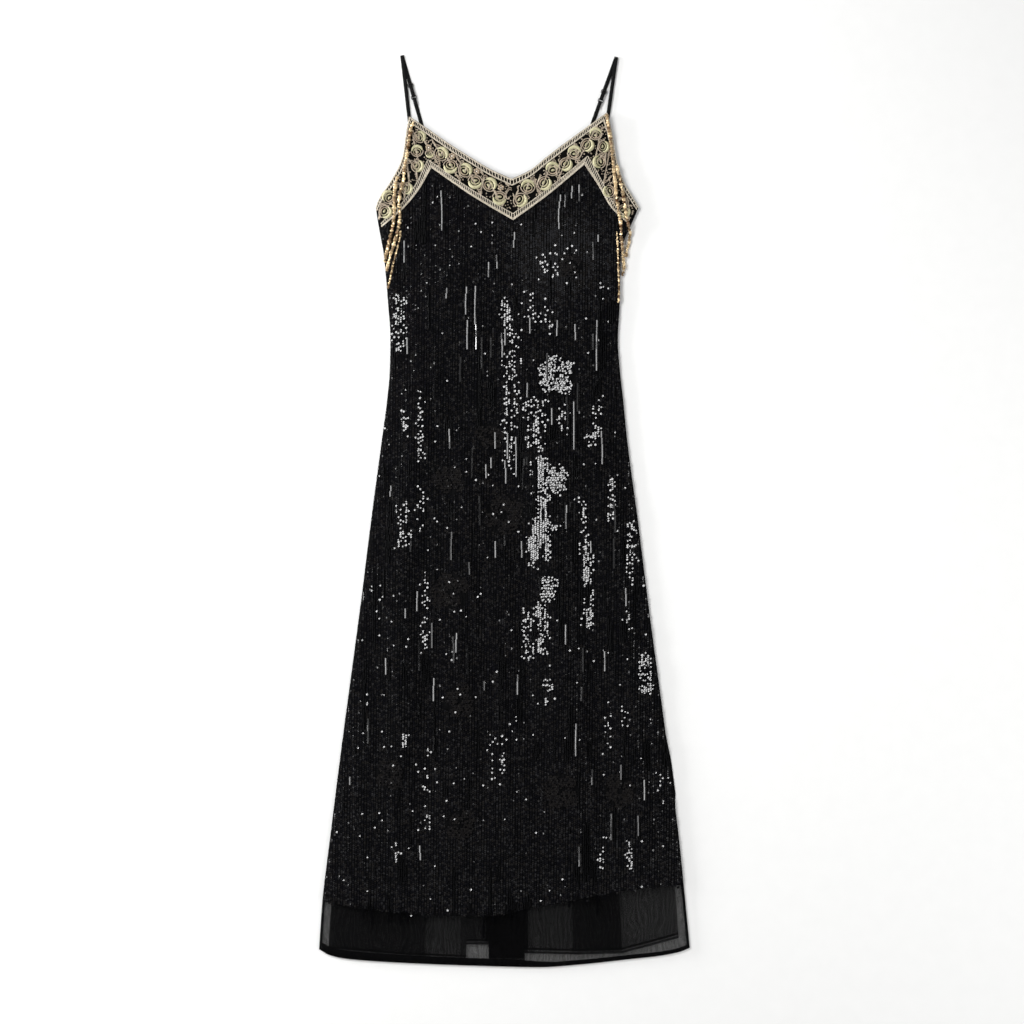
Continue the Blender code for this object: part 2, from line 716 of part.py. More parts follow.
def strap_band(strap):
    apex, way, side_way = strap_frame(strap)
    foot = np.array(strap.foot)
    rise = apex - foot
    rise /= np.linalg.norm(rise)
    front_side = np.array((rise[1], -rise[0]))
    stations = [(*(foot + (apex - foot) * share), STRAP_HIGH) for share in np.linspace(0.0, 1.0, 6)]
    sides = [front_side] * len(stations)
    turn = half_turn(apex, (0.0, 1.0), (STRAP_HIGH - STRAP_LOW) / 2, STRAP_HIGH, STRAP_LOW)
    sides += [front_side + (side_way - front_side) * (k + 1) / (len(turn) + 1) for k in range(len(turn))]
    stations += turn
    bar = strap.ring_at - (RING_HOLE_LENGTH + RING_BAR) / 2
    run = [spot(apex, way, distance, STRAP_LOW) for distance in np.linspace(0.0, bar, 5)]
    wrap = half_turn(apex + way * bar, way, WRAP_RADIUS, STRAP_LOW, STRAP_LOW + 2 * WRAP_RADIUS)
    top = STRAP_LOW + 2 * WRAP_RADIUS
    ends = (bar, (bar + strap.slide_at) / 2, strap.slide_at)
    back = [spot(apex, way, distance, top) for distance in ends]
    stations += run + wrap + back
    sides += [side_way] * len(run + wrap + back)
    flat = [(*(side / np.linalg.norm(side)), 0.0) for side in sides]
    return ribbon(f"strap_{strap.side}", stations, flat, "black_strap")


def strap_tab(strap):
    """The short tab that holds the ring to the back's top edge."""
    apex, way, side_way = strap_frame(strap)
    length = float(np.linalg.norm(np.array(strap.seat) - apex))
    bar = strap.ring_at + (RING_HOLE_LENGTH + RING_BAR) / 2
    on_back = BACK_WALL + SEAM_GAP + STRAP_WALL / 2
    top = STRAP_LOW + 2 * WRAP_RADIUS
    run = [
        spot(apex, way, length + TAB_ON_BACK, on_back),
        spot(apex, way, length - TAB_STEP_END, on_back),
        spot(apex, way, length - TAB_STEP_START, STRAP_LOW),
        spot(apex, way, (length + bar) / 2, STRAP_LOW),
        spot(apex, way, bar, STRAP_LOW),
    ]
    wrap = half_turn(apex + way * bar, -way, WRAP_RADIUS, STRAP_LOW, top)
    back = [spot(apex, way, bar, top), spot(apex, way, bar + TAB_RETURN, top)]
    stations = run + wrap + back
    flat = [(*side_way, 0.0)] * len(stations)
    return ribbon(f"strap_tab_{strap.side}", stations, flat, "black_strap")


def rounded(length, width, radius, shift=0.0):
    """Corner points of a rounded rectangle, length along X."""
    made = []
    for quarter in range(4):
        sign_x = 1.0 if quarter in (0, 3) else -1.0
        sign_y = 1.0 if quarter in (0, 1) else -1.0
        for step in range(4):
            angle = math.pi / 2 * (quarter + step / 3)
            x = sign_x * (length / 2 - radius) + radius * math.cos(angle) + shift
            y = sign_y * (width / 2 - radius) + radius * math.sin(angle)
            made.append((x, y))
    return made


def hardware(name, strap, distance, outlines):
    """A flat cast piece with slots, along the strap's back part."""
    apex, way, _ = strap_frame(strap)
    curve = bpy.data.curves.new(name, "CURVE")
    curve.dimensions = "2D"
    curve.fill_mode = "BOTH"
    curve.extrude = HARDWARE_WALL / 2
    for outline in outlines:
        spline = curve.splines.new("POLY")
        spline.points.add(len(outline) - 1)
        spline.use_cyclic_u = True
        for point, (x, y) in zip(spline.points, outline):
            point.co = (x, y, 0.0, 1.0)
    made = add_object(name, curve, "black_hardware")
    made.location = spot(apex, way, distance, HARDWARE_LOW + HARDWARE_WALL / 2)
    made.rotation_euler = (0.0, 0.0, math.atan2(way[1], way[0]))
    return made


def ring(strap):
    outside = rounded(RING_HOLE_LENGTH + 2 * RING_BAR, RING_HOLE_WIDTH + 2 * RING_BAR, RING_CORNER)
    hole = rounded(RING_HOLE_LENGTH, RING_HOLE_WIDTH, SLOT_CORNER)
    return hardware(f"strap_ring_{strap.side}", strap, strap.ring_at, (outside, hole))


def slide(strap):
    outside = rounded(SLIDE_LENGTH, RING_HOLE_WIDTH + 2 * RING_BAR, RING_CORNER)
    slot_length = (SLIDE_LENGTH - 3 * RING_BAR) / 2
    middle = (slot_length + RING_BAR) / 2
    slots = [rounded(slot_length, RING_HOLE_WIDTH, SLOT_CORNER, shift) for shift in (-middle, middle)]
    return hardware(f"strap_slide_{strap.side}", strap, strap.slide_at, (outside, *slots))


def bead_strand(name, route, width):
    """A free string of beads as a plain tube along a smooth curve through its route."""
    lengths = np.linalg.norm(np.diff(np.array(route), axis=0), axis=1)
    count = max(2, round(float(lengths.sum()) / (width * STRAND_STEP)))
    curve = bpy.data.curves.new(name, "CURVE")
    curve.dimensions = "3D"
    curve.bevel_depth = width / 2
    curve.bevel_resolution = 2
    curve.use_fill_caps = True
    spline = curve.splines.new("POLY")
    spline.points.add(count)
    for point, place in zip(spline.points, through(route, np.linspace(0.0, 1.0, count + 1))):
        point.co = (*place, 1.0)
    return add_object(name, curve, "gold_beads")


def main():
    for old in list(bpy.data.objects):
        bpy.data.objects.remove(old, do_unlink=True)
    back_panel()
    level = BACK_WALL + SEAM_GAP
    lining_piece("lining_back", level, LINING_BACK_SHORTER, LINING_WALL)
    level += LINING_WALL + SEAM_GAP
    lining_piece("lining_front", level, 0.0, LINING_FOLD_WALL)
    front_panel()
    neck_band("left", NECK_LEFT, INNER_APEX_LEFT, -1.0)
    neck_band("right", NECK_RIGHT, INNER_APEX_RIGHT, 1.0)
    armhole_band("left", ARM_INNER_LEFT, (NECK_LEFT[0].place, NECK_LEFT[0].height), -1.0)
    armhole_band("right", ARM_INNER_RIGHT, (NECK_RIGHT[-1].place, NECK_RIGHT[-1].height), 1.0)
    for strap in STRAPS:
        strap_band(strap)
        strap_tab(strap)
        ring(strap)
        slide(strap)
    for name, (width, route) in STRANDS.items():
        bead_strand(name, route, width)


main()
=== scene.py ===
import math
from collections import namedtuple

import bmesh
import bpy
import numpy as np
from mathutils import Matrix, Vector


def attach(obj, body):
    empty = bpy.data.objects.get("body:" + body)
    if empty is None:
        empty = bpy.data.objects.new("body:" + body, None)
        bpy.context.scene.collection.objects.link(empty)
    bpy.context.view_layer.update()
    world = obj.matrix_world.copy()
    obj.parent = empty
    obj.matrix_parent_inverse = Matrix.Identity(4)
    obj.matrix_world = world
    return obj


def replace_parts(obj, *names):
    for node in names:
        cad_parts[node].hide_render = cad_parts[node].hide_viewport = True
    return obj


# A black beaded slip dress laid flat on its back. Its straps are towards +Y and its front is up.
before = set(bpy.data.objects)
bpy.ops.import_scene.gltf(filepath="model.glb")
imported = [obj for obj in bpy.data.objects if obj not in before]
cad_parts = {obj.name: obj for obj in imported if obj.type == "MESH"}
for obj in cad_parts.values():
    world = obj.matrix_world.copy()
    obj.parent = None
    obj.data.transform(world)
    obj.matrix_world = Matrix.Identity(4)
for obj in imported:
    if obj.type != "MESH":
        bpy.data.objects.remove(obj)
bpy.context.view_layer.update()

# A slanting way along which no two corners of a bead are level, and how far apart slopes are measured
SORTING_WAY = Vector((1.0, 0.37, 11.0))
SLOPE_STEP = 0.002
FULL_TURN = 6.28

# Patches of bugle beads, and streaks of sequins that lie alike: their sizes and where they are counted from
draws = np.random.default_rng(11)
CELLS = 96
HILLS = draws.random((CELLS, CELLS))
STREAKS = draws.random((CELLS, CELLS))
FIELD_CELL = (0.0075, 0.060)
FIELD_CORNER = (0.6, 0.9)
STREAK_LENGTH = 0.028
STREAK_SHIFT = 0.37


def table(kind, rows, *plain):
    """Rows as records of one kind. They are written in millimetres, apart from the plain fields."""
    return tuple(
        kind(*(value if field in plain else round(value / 1000, 7) for field, value in zip(kind._fields, row)))
        for row in rows
    )


# The camera looks straight down, and its frame is this wide on the floor
CAMERA_HEIGHT = 6.0
VIEW_WIDTH = 1.536
VIEW_CENTRE = (0.01125, -0.0015)
FLOOR_REACH = 5.0
FLOOR_DROP = 0.0002

# Soft lights: place, the point that each faces, sides, strength in watts
Light = namedtuple("Light", "name place target width length watts")
LIGHTS = (
    Light("key", (-1.25, 1.25, 1.90), (0.0, 0.0, 0.0), 0.85, 0.85, 36.0),
    Light("strip", (-1.55, 0.0, 1.75), (0.0, 0.0, 0.0), 1.90, 0.28, 14.5),
    Light("rake", (-2.55, 0.60, 0.50), (0.1, 0.0, 0.0), 1.20, 0.60, 92.0),
    Light("fill", (1.90, -0.60, 1.50), (0.0, 0.0, 0.0), 1.20, 1.60, 22.0),
)

# The studio's surroundings: how bright they are, by how high they are over the horizon
Sky = namedtuple("Sky", "height light")
SKY = (
    Sky(0.0, 0.80),
    Sky(1.0, 0.010),
    Sky(0.40, 0.48),
    Sky(0.75, 0.32),
    Sky(0.88, 0.16),
    Sky(0.96, 0.05),
)

# Side seams from hem to underarm, and the armholes from underarm to strap
Edge = namedtuple("Edge", "height left right")
SIDE_SEAMS = table(Edge, (
    (-657, -278, 278), (-584, -273, 271), (-494, -262, 262), (-374, -247, 247), (-134, -215, 215), (-14, -200, 200),
    (106, -184, 184), (166, -176, 178), (211, -172, 173), (256, -171, 170), (316, -175, 173), (384, -181, 174),
    (407, -185, 180), (429, -189, 190), (455, -193, 201),
))
ARMHOLES = table(Edge, (
    (455, -193, 201), (474, -185, 190), (489, -174, 181), (504, -165, 175), (519, -157, 170), (534, -152, 167),
    (564, -148, 162), (592, -143, 156), (598, -142, 154),
))

# Edges that run across the dress: the hem, the end of the beading, and the neckline
Across = namedtuple("Across", "place height")
HEM = table(Across, (
    (-278, -657), (-262, -666), (-232, -672), (-142, -678), (-37, -682), (53, -684), (113, -680), (188, -672),
    (233, -667), (263, -661), (278, -655),
))
BEADING_END = table(Across, (
    (-275, -584), (-214, -597), (-175, -601), (-97, -606), (-19, -607), (32, -597), (79, -588), (137, -577),
    (196, -567), (272, -560),
))
NECK_LEFT = table(Across, (
    (-143, 592), (-112, 571), (-82, 550), (-52, 531), (-22, 513), (11, 498),
))
NECK_RIGHT = table(Across, (
    (11, 498), (40, 512), (61, 529), (83, 546), (113, 568), (154, 598),
))

# How high the front lies over the floor at its seams, under its bands and inside
CHIFFON_WALL = 0.0010
BEADED_WALL = 0.0018
SEAM_LEVEL = 0.0015
FREE_EDGE_LEVEL = 0.0026
BODY_LEVEL = 0.0050
ROLL_WIDTH = 0.014
HEM_ROLL_WIDTH = 0.012
UNDERARM = 0.455
UNDERARM_SHIFT = 0.004
UNDERARM_BLEND = 0.030
NECK_SLOPE = 0.84
ARM_SLOPE = 0.92
BEADING_FADE = 0.004

# Largest folds of the front: each runs down from its top through a middle to its foot
Fold = namedtuple("Fold", "top_x top middle_x middle foot_x foot width rise")
FOLDS = table(Fold, (
    (-75, 395, -82, 330, -84, 255, 46, 5), (88, 398, 92, 335, 90, 262, 44, 4.6),
    (-130, 300, -152, -80, -176, -520, 24, 5), (18, 340, 66, -20, 104, -560, 32, 6.2),
    (128, 140, 178, -200, 214, -575, 26, 5.2), (-52, 210, -66, -140, -78, -600, 28, 4),
    (-10, 60, -4, -220, 12, -610, 20, 3), (-205, -180, -222, -400, -236, -630, 18, 3),
    (150, 290, 128, 230, 96, 165, 14, 2), (-148, 285, -122, 228, -92, 170, 14, 1.8),
))

# How the folds fade: at their feet and tops as shares of their length, and near the edges
FOLD_FOOT_FADE = 0.22
FOLD_TOP_FADE = 0.30
SEAM_FLAT = 0.004
FOLD_SIDE_FADE = 0.040
FOLD_HEM_FADE = 0.030
BUST_HEIGHT = 0.40

# Small creases that only the cloth shows: top and foot of each, its half width and its height
CREASE_FADE = 0.3
Crease = namedtuple("Crease", "top_x top foot_x foot width rise")
CREASES = table(Crease, (
    (-160, 330, -118, 255, 6, 1.1), (-166, 292, -128, 238, 5, -0.9), (160, 322, 122, 262, 6, 1.2),
    (163, 283, 118, 214, 5, -0.9), (-148, 235, -112, 150, 7, 0.9), (146, 222, 104, 120, 7, 1),
    (-100, 120, -112, -240, 9, 1.3), (-36, 20, -40, -330, 8, -1), (42, -80, 52, -420, 9, 1.4),
    (88, 60, 118, -260, 8, -1.2), (150, -120, 176, -500, 9, 1.2), (-150, -160, -170, -560, 9, 1.3),
    (-118, -300, -126, -620, 7, -0.9), (-20, -360, -24, -660, 9, 1.6), (112, -380, 124, -650, 9, 1.4),
    (186, -420, 194, -640, 7, 1), (-196, -470, -206, -650, 6, 1), (30, 180, 36, 20, 8, 1),
    (-60, 300, -52, 190, 10, 1), (70, 310, 64, 200, 10, 0.9),
))

# The front cloth's grid: armhole, neckline, hem and body
ARMHOLE_SHARES = (0.0, 0.007, 0.021, 0.048, 0.085, 0.122, 0.160)
ARMHOLE_UPS = (0.0, 0.12, 0.26, 0.42, 0.60, 0.80, 1.0)
STRAP_SHARE = ARMHOLE_SHARES[-1]
NECK_POINT_SHARE = 0.52
LEAN_START = 0.330
ARM_COLUMNS = 14
NECK_COLUMNS = 30
HEM_TURN_ROWS = (0.0, 0.004, 0.008, 0.0105)
SHEER_ROWS = 16
BODY_ROWS = 170

# The back's top edge, and where its seam slips out past the right side
BACK_TOP = table(Across, (
    (-192, 449), (-150, 456), (-96, 480), (2, 466), (96, 480), (155, 456), (200, 449),
))
BACK_LEVEL = 0.0010
BACK_SHORTER = 0.0005
BACK_FIRST_SHARE = 0.03
BACK_COLUMNS = 40
BACK_SHEER_ROWS = 7
BACK_ROWS = 90
SLIP_LOW = -0.437
SLIP_HIGH = -0.330
SLIP_OUT = 0.003
SLIP_FADE = 0.050
SLIP_STEP = 0.004
SLIP_SHARE = 0.9

# The lining's hem, and how many plies of it lie over each other from left to right
LINING_TOP = -0.545
LINING_INSET = 0.0045
LINING_BACK_SHORTER = 0.005
LINING_BACK_LEVEL = 0.0019
LINING_FRONT_LEVEL = 0.0034
LINING_TURN = 0.30
LINING_COLUMNS = 110
LINING_ROWS = 8
RIPPLE_HEIGHT = 0.0004
RIPPLE_FADE = 0.03
RIPPLES = 190.0
LINING_HEM = table(Across, (
    (-264, -660), (-150, -670), (-58, -674), (-57, -650), (-24, -650), (-23.5, -675), (30, -675), (30.5, -663),
    (110, -665), (176, -663), (222, -651), (262, -640),
))
LiningBand = namedtuple("LiningBand", "left right plies")
LINING_BANDS = table(LiningBand, (
    (-262, -119, 1.35), (-119, -67, 0.85), (-67, -29, 1.2), (-29, 37, 2.4), (37, 105, 0.87), (105, 176, 1.5),
    (176, 262, 0.7),
), "plies")

# Jewelled bands along the neckline and armholes: inner edges as corners and a bow
BAND_WIDTH = 0.045
MITRE_GAP = 0.0002
INNER_APEX_LEFT = (-0.109, 0.513)
INNER_APEX_RIGHT = (0.119, 0.518)
INNER_NECK_POINT = (0.013, 0.435)
INNER_BOW = 0.003
ARM_INNER_LEFT = ((-0.109, 0.513), (-0.127, 0.482), (-0.150, 0.454), (-0.184, 0.425))
ARM_INNER_RIGHT = ((0.119, 0.518), (0.142, 0.484), (0.160, 0.454), (0.184, 0.431))
GROUND_LIFT = 0.0008
STITCH_LIFT = 0.0005
CRESCENT_LIFT = 0.0008

# Strings of gold beads from the strap points down to the side seams, as route points
STRAND_WIDTH = 0.0040
FINE_STRAND_WIDTH = 0.0024
# Cups along a string: their spacing in widths, how unevenly they sit and lean, their sizes and flatness
CUP_PITCH = 0.95
CUP_WANDER = 0.0002
CUP_LEAN = 0.75
CUP_UP = 0.9
CUP_PITCHING = 0.4
CUP_SIZES = (1.10, 1.80)
CUP_SQUASH = 0.42
Place = namedtuple("Place", "x y z")
LONG_LEFT = table(Place, (
    (-137.3, 582, 8.9), (-140.7, 570, 8.9), (-142.7, 559.5, 8.9), (-144.7, 544.5, 8.9), (-147, 529.5, 9.2),
    (-149.2, 516, 9.6), (-150.7, 502.5, 9.8), (-152.6, 490.5, 10), (-156, 477, 10.1), (-158, 463.5, 10.5),
    (-156.8, 445.5, 10.5), (-157.7, 430.5, 9.3), (-161.3, 414, 9.2), (-167.3, 394.5, 9.2), (-173.8, 372, 8.5),
    (-176.5, 361, 7.8),
))
SHORT_LEFT = table(Place, (
    (-160.6, 499.5, 8.8), (-163.2, 490, 9), (-164.3, 480, 9.6), (-165, 470, 9.8), (-165.2, 459, 10),
    (-165, 452.2, 10.6), (-165, 445.5, 11), (-166.2, 433.5, 9.6), (-167.4, 426.7, 9.3), (-168.8, 420, 9.2),
    (-171.4, 408, 9.2), (-174.2, 397, 8.9), (-176.8, 386, 8.5), (-178.1, 380, 7.8), (-179.3, 374, 6.9),
))
FINE_LEFT = table(Place, (
    (-155.8, 418, 8.3), (-156.8, 410, 8.3), (-158, 404.5, 8.3), (-159.4, 399, 8.3), (-160.7, 393.5, 8.3),
    (-162, 388, 8.3), (-163.5, 382.3, 8.2), (-165, 376.5, 8.2), (-166.4, 370.3, 8.2), (-167.8, 364, 8.2),
    (-169.2, 357.5, 8.2), (-170.6, 351, 8), (-171.8, 346, 7.7), (-173, 341, 7.4), (-174.6, 334.5, 6.9),
))
LONG_RIGHT = table(Place, (
    (153.1, 592.5, 9), (155.2, 579, 8.9), (158.3, 561, 8.9), (160.7, 543, 8.9), (162.8, 522, 9.2),
    (164.3, 505.5, 9.5), (166.3, 489, 9.6), (167.8, 468, 9.8), (170.6, 450, 11), (173.8, 432, 9.6), (174.7, 414, 9),
    (176.3, 399, 7), (177.2, 388, 4.8), (178.4, 376.5, 2.8), (179, 367, 2.4), (176.8, 354, 2.4),
))
SHORT_RIGHT = table(Place, (
    (168.3, 516, 8.9), (170.1, 508.5, 8.9), (171.8, 501, 9), (174.8, 488, 9.4), (177.2, 478.5, 9.6),
    (178.5, 471, 9.5), (179.6, 463.5, 9.5), (181.2, 450, 10.1), (183.2, 438.5, 11), (185.6, 429, 10.3),
    (187.4, 421, 6.4), (188, 413, 3.6), (186.6, 403.5, 2.7), (184.4, 393, 2.4), (182.4, 383.5, 2.4),
))
FINE_RIGHT = table(Place, (
    (168.2, 418, 8.3), (169, 406.5, 8.3), (169.3, 400.3, 8.1), (169.6, 394, 7.9), (169.9, 382.5, 7.5),
    (170.1, 376.2, 7.3), (170.3, 370, 7.2), (170.5, 364, 7.1), (170.8, 358, 7), (171.3, 346.5, 6.8),
    (171.5, 340.3, 6.6), (171.6, 334, 6.5), (171.6, 328, 6.5), (171.4, 322, 6.6), (170.6, 313.5, 6.8),
))
STRANDS = {
    "bead_strand_long_left": (STRAND_WIDTH, LONG_LEFT),
    "bead_strand_short_left": (STRAND_WIDTH, SHORT_LEFT),
    "bead_strand_fine_left": (FINE_STRAND_WIDTH, FINE_LEFT),
    "bead_strand_long_right": (STRAND_WIDTH, LONG_RIGHT),
    "bead_strand_short_right": (STRAND_WIDTH, SHORT_RIGHT),
    "bead_strand_fine_right": (FINE_STRAND_WIDTH, FINE_RIGHT),
}

# Sheerness: the share of light that one ply of chiffon lets through, and the plies of each part
PLY_CLEAR = 0.53
SHEER_PLIES = 1.0
TURNED_PLIES = 4.0
LINING_TURNED_PLIES = 2.6
BEADED_PLIES = 16.0
MOIRE = 0.11
HEM_TURN = 0.0105
HEM_WIDTHS = ((0.0, 1.1), (0.52, 1.0), (0.64, 0.62), (1.0, 0.52))
SEAM_TURN_SHARE = 0.0075
CLOTH_THICKNESS = 0.0004

# Sequins and bugle beads: sizes, spacing, how unevenly they are sewn and how they tilt
SEQUIN_RADIUS = 0.0018
COLUMN_PITCH = 0.0036
ROW_PITCH = 0.0031
COLUMN_SWAY = 0.0007
COLUMN_JITTER = 0.00016
ROW_JITTER = 0.00018
SEQUIN_COLUMNS = (-78, 79)
SEQUIN_ROWS = (-200, 180)
SEQUIN_CUP = 0.00011
SEQUIN_FOLLOW = 0.30
SEQUIN_NOD = 0.04
SEQUIN_ROCK = 0.03
STREAK_ROCK = 0.06
CALM_TILT = 0.055
WILD_TILT = 0.16
WILD_SHARE = 0.026
SEQUIN_LIFT = 0.0008
SEQUIN_LAP = 0.0003
SEQUIN_SIZES = (0.72, 1.05)
BEADING_MARGIN = 0.0022
BEADING_OVERLAP = 0.002
BEADING_FRINGE = 0.0030
BUGLE_RADIUS = 0.0009
STRING_RADIUS = 0.0015
BUGLE_LENGTH = 0.0105
BUGLE_PITCH = 0.0027
BUGLE_STEP = 1.04
BUGLE_JITTER = 0.0003
BUGLE_LEAN = 0.03
BUGLE_LIFT = 0.0010
STRING_LIFT = 0.0016
STRING_MARGIN = 0.006
DRIP_TILT = 0.4
BUGLE_SHARE = 0.82
BUGLE_COLUMNS = (-104, 105)
BUGLE_ROWS = (-62, 56)
LOOSE_STRINGS = 70
LOOSE_TILT = 0.100
BRIGHT_TILT = 0.014
STRING_SCATTER = 0.010

# Places where the sequins lie so that they catch the key light: share is how many of them do
Glare = namedtuple("Glare", "x top foot width share")
GLARES = table(Glare, (
    (-158, 330, 230, 10, 0.2), (-150, 155, 105, 6, 0.24), (-126, 200, 60, 6, 0.14), (-150, 25, -60, 9, 0.24),
    (-126, 45, -45, 6, 0.14), (-120, -85, -215, 7, 0.18), (-192, -100, -165, 8, 0.2), (-212, -270, -310, 6, 0.2),
    (-150, -325, -365, 6, 0.2), (-116, -345, -480, 6, 0.09), (-162, -490, -535, 6, 0.13), (4, 322, 245, 10, 0.26),
    (6, 245, 60, 9, 0.22), (20, 310, 120, 6, 0.14), (36, 335, 250, 10, 0.12), (86, 405, 345, 26, 0.06),
    (152, 345, 275, 7, 0.14), (66, 315, 260, 9, 0.16), (44, 175, 85, 18, 0.26), (88, 170, 110, 8, 0.22),
    (54, 85, -80, 13, 0.44), (40, -30, -90, 9, 0.34), (38, -140, -230, 12, 0.26), (56, -130, -220, 10, 0.3),
    (64, -245, -295, 10, 0.22), (125, -60, -180, 9, 0.34), (119, 20, -75, 7, 0.2), (130, 125, 85, 9, 0.2),
    (140, 175, 105, 8, 0.18), (160, 55, -20, 6, 0.3), (190, -10, -125, 8, 0.2), (180, -150, -200, 7, 0.18),
    (211, -210, -280, 9, 0.45), (156, -280, -355, 6, 0.14), (182, -280, -335, 6, 0.14), (146, -480, -545, 5, 0.16),
    (186, -490, -545, 5, 0.2), (234, -370, -450, 6, 0.13), (66, 395, 350, 14, 0.07), (98, 400, 345, 12, 0.08),
    (-10, -330, -420, 12, 0.06), (18, -280, -330, 10, 0.07),
), "share")
GLARE_ELSEWHERE = 0.0035
GLARE_SCATTER = 0.052
GLARE_FADE = 0.012
GLARE_GAIN = 1.65

# The chest glitters less than the skirt, and on its right its sequins are painted greyer: a painted soft sheen
CHEST_HEIGHT = 0.24
CHEST_BLEND = 0.04
CHEST_DIMMER = 0.6
PAINTED_SHEEN_MIDDLE = (0.085, 0.385)
PAINTED_SHEEN_REACH = 0.075
PAINTED_SHEEN_TINT = 0.70

# Round flowers of flat sequins: the bright ones face the key light
Flower = namedtuple("Flower", "x y radius tall bright hollow")
FLOWERS = table(Flower, (
    (78, 203, 31, 1.06, 0.85, 0.16), (79, 47, 19, 1.25, 0.98, 0), (76, -24, 9, 1, 0.7, 0),
    (67, -114, 17, 1.45, 0.95, 0), (210, -246, 10, 1.7, 0.7, 0), (-82, 46, 24, 1, 0, 0.12),
    (0, -6, 33, 1, 0.03, 0.15), (-68, -284, 26, 1, 0.05, 0.15), (-82, -120, 30, 1, 0.01, 0.12),
    (84, -420, 30, 1, 0, 0.12), (-66, -470, 24, 1, 0.01, 0.12), (-22, 112, 22, 1, 0, 0.12),
    (-172, -395, 24, 1, 0.02, 0.12), (172, -420, 26, 1, 0.01, 0.12), (98, 368, 20, 1, 0.06, 0),
), "tall", "bright", "hollow")
PETAL_RADIUS = 0.0017
PETAL_PITCH = 0.0029
PETAL_JITTER = 0.00035
PETAL_COVER = 0.88
PETAL_SCATTER = 0.06
PETALS = 5

# Strings of bugle beads that catch the strip light
Bright = namedtuple("Bright", "x top foot")
BRIGHT_BUGLES = table(Bright, (
    (-95, 480, 420), (92, 474, 455), (85, 474, 422), (103, 487, 468), (112, 489, 464), (17, 418, 394),
    (-13, 384, 363), (-23, 373, 350), (-56, 336, 294), (-43, 337, 279), (-85, 334, 318), (-55, 286, 242),
    (-5, 267, 230), (1, 273, 248), (140, 414, 403), (132, 403, 376), (139, 286, 210), (105, 280, 256),
    (80, 286, 262), (-83, 123, 93), (-14, 118, 93), (5, 117, 78), (0, 76, 41), (17, 111, 51), (-20, 80, 64),
    (-28, 70, 49), (35, 192, 170), (71, 154, 129), (104, 164, 92), (94, 9, -27), (25, -45, -70), (-14, -45, -70),
    (145, 120, 70), (129, -45, -63), (-150, 405, 372), (-146, 260, 235), (-130, -120, -150), (92, -170, -200),
    (-178, -220, -245), (150, -210, -240), (20, -245, -275), (-105, -250, -285),
))

# Bugle strings that hang past the beading onto the sheer hem
DRIPS = table(Bright, (
    (-199, -590, -627), (-211, -590, -612), (-172, -596, -618), (-157, -596, -622), (-144, -600, -616),
    (-118, -600, -614), (-30, -600, -640), (-18, -600, -618), (8, -596, -612), (122, -575, -590), (138, -575, -605),
    (143, -572, -588), (98, -582, -594),
))

# Paisleys of the jewelled bands. facing is where the crescent lies, in degrees from +X
Paisley = namedtuple("Paisley", "x y facing size")
PAISLEYS = table(Paisley, (
    (-94.5, 535.5, 42, 1), (-58.5, 511, 42, 1), (-22, 489.5, 40, 1), (-81, 516, -98, 1), (-44, 493, -98, 1),
    (-7.5, 468.5, -98, 1), (-126.5, 561, 30, 0.85), (-112, 535, -80, 0.6), (-131, 540, 95, 0.85),
    (-130, 517, -15, 0.9), (-146, 483, -15, 0.85), (-174, 471, 135, 0.95), (-178, 448, -30, 0.95),
    (35, 486.5, 92, 1), (72, 513, 104, 1), (105, 537.5, 92, 1), (136.5, 565.5, 98, 0.9), (24, 465.5, -35, 1),
    (60.5, 490.5, -42, 1), (92, 519, -45, 0.95), (124.5, 548, -25, 0.95), (149, 546, -10, 0.85),
    (142, 523.5, 190, 0.95), (156, 479, 200, 0.85), (179, 449, -60, 0.95),
), "facing", "size")
CRESCENT_REACH = 0.0080
CRESCENT_HALF = 0.0090
CRESCENT_THICK = 0.0029
CRESCENT_TIP = 0.0008
CRESCENT_SPREAD = 92.0
SCROLL_REAR = -0.0020
SCROLL_REACH = 0.0050
SCROLL_HALF = 0.0062
SCROLL_SPREAD = 1.9
SCROLL_THICK = 0.0012
BEAN_REAR = -0.0024
BEAN_HALF = 0.0030
BEAN_THICK = 0.0020
REAR_REACH = 0.0076
REAR_HALF = 0.0072
REAR_SPREAD = 1.15
REAR_THICK = 0.0011
OUTLINE_REACH = 0.0103
OUTLINE_HALF = 0.0107
OUTLINE_RADIUS = 0.0008
PADDING = 0.7
PEARL_RADIUS = 0.0013
LEAF_RADIUS = 0.0014
FLORET_REACH = 0.0160
FLORET_FACING = (-150.0, -60.0)
FLORET_PETALS = 6
FLORET_RADIUS = 0.0033
FLORET_PETAL = 0.0019
KNOT_PITCH = 0.0058
KNOT_RADIUS = 0.0010

# Strap tape: how close points are merged, the angles of its flats and corners, and the round of its edges
TAPE_MERGE = 0.00002
TAPE_FLATNESS = 0.02
TAPE_CORNER = 1.0
TAPE_ROUND = 0.00022

# The vine that winds between the paisleys: band, where its first inner crest is, its repeat
Vine = namedtuple("Vine", "band crest repeat")
VINES = (
    Vine("neck_trim_left", 0.0240, 0.0434),
    Vine("neck_trim_right", 0.0150, 0.0430),
    Vine("armhole_trim_left", 0.0300, 0.0420),
    Vine("armhole_trim_right", 0.0220, 0.0420),
)
VINE_SWING = 0.24
VINE_RADIUS = 0.0007
VINE_TWIN = 0.022
VINE_LEAF = 0.0060
VINE_MIDDLE = 0.49
VINE_BOUNDS = (0.18, 0.80)

# Ladder braids along both edges of a band, as shares of its width
RAIL_LINES = (0.018, 0.036, 0.142, 0.160, 0.830, 0.940, 0.958, 0.978)
RAIL_RADIUS = 0.00058
RAIL_LIFT = 0.0007
RUNG_ROWS = ((0.036, 0.142), (0.830, 0.940))
RUNG_PITCH = 0.0050
RUNG_RADIUS = 0.00058
RUNG_LIFT = 0.0006
BAND_STEPS = 160


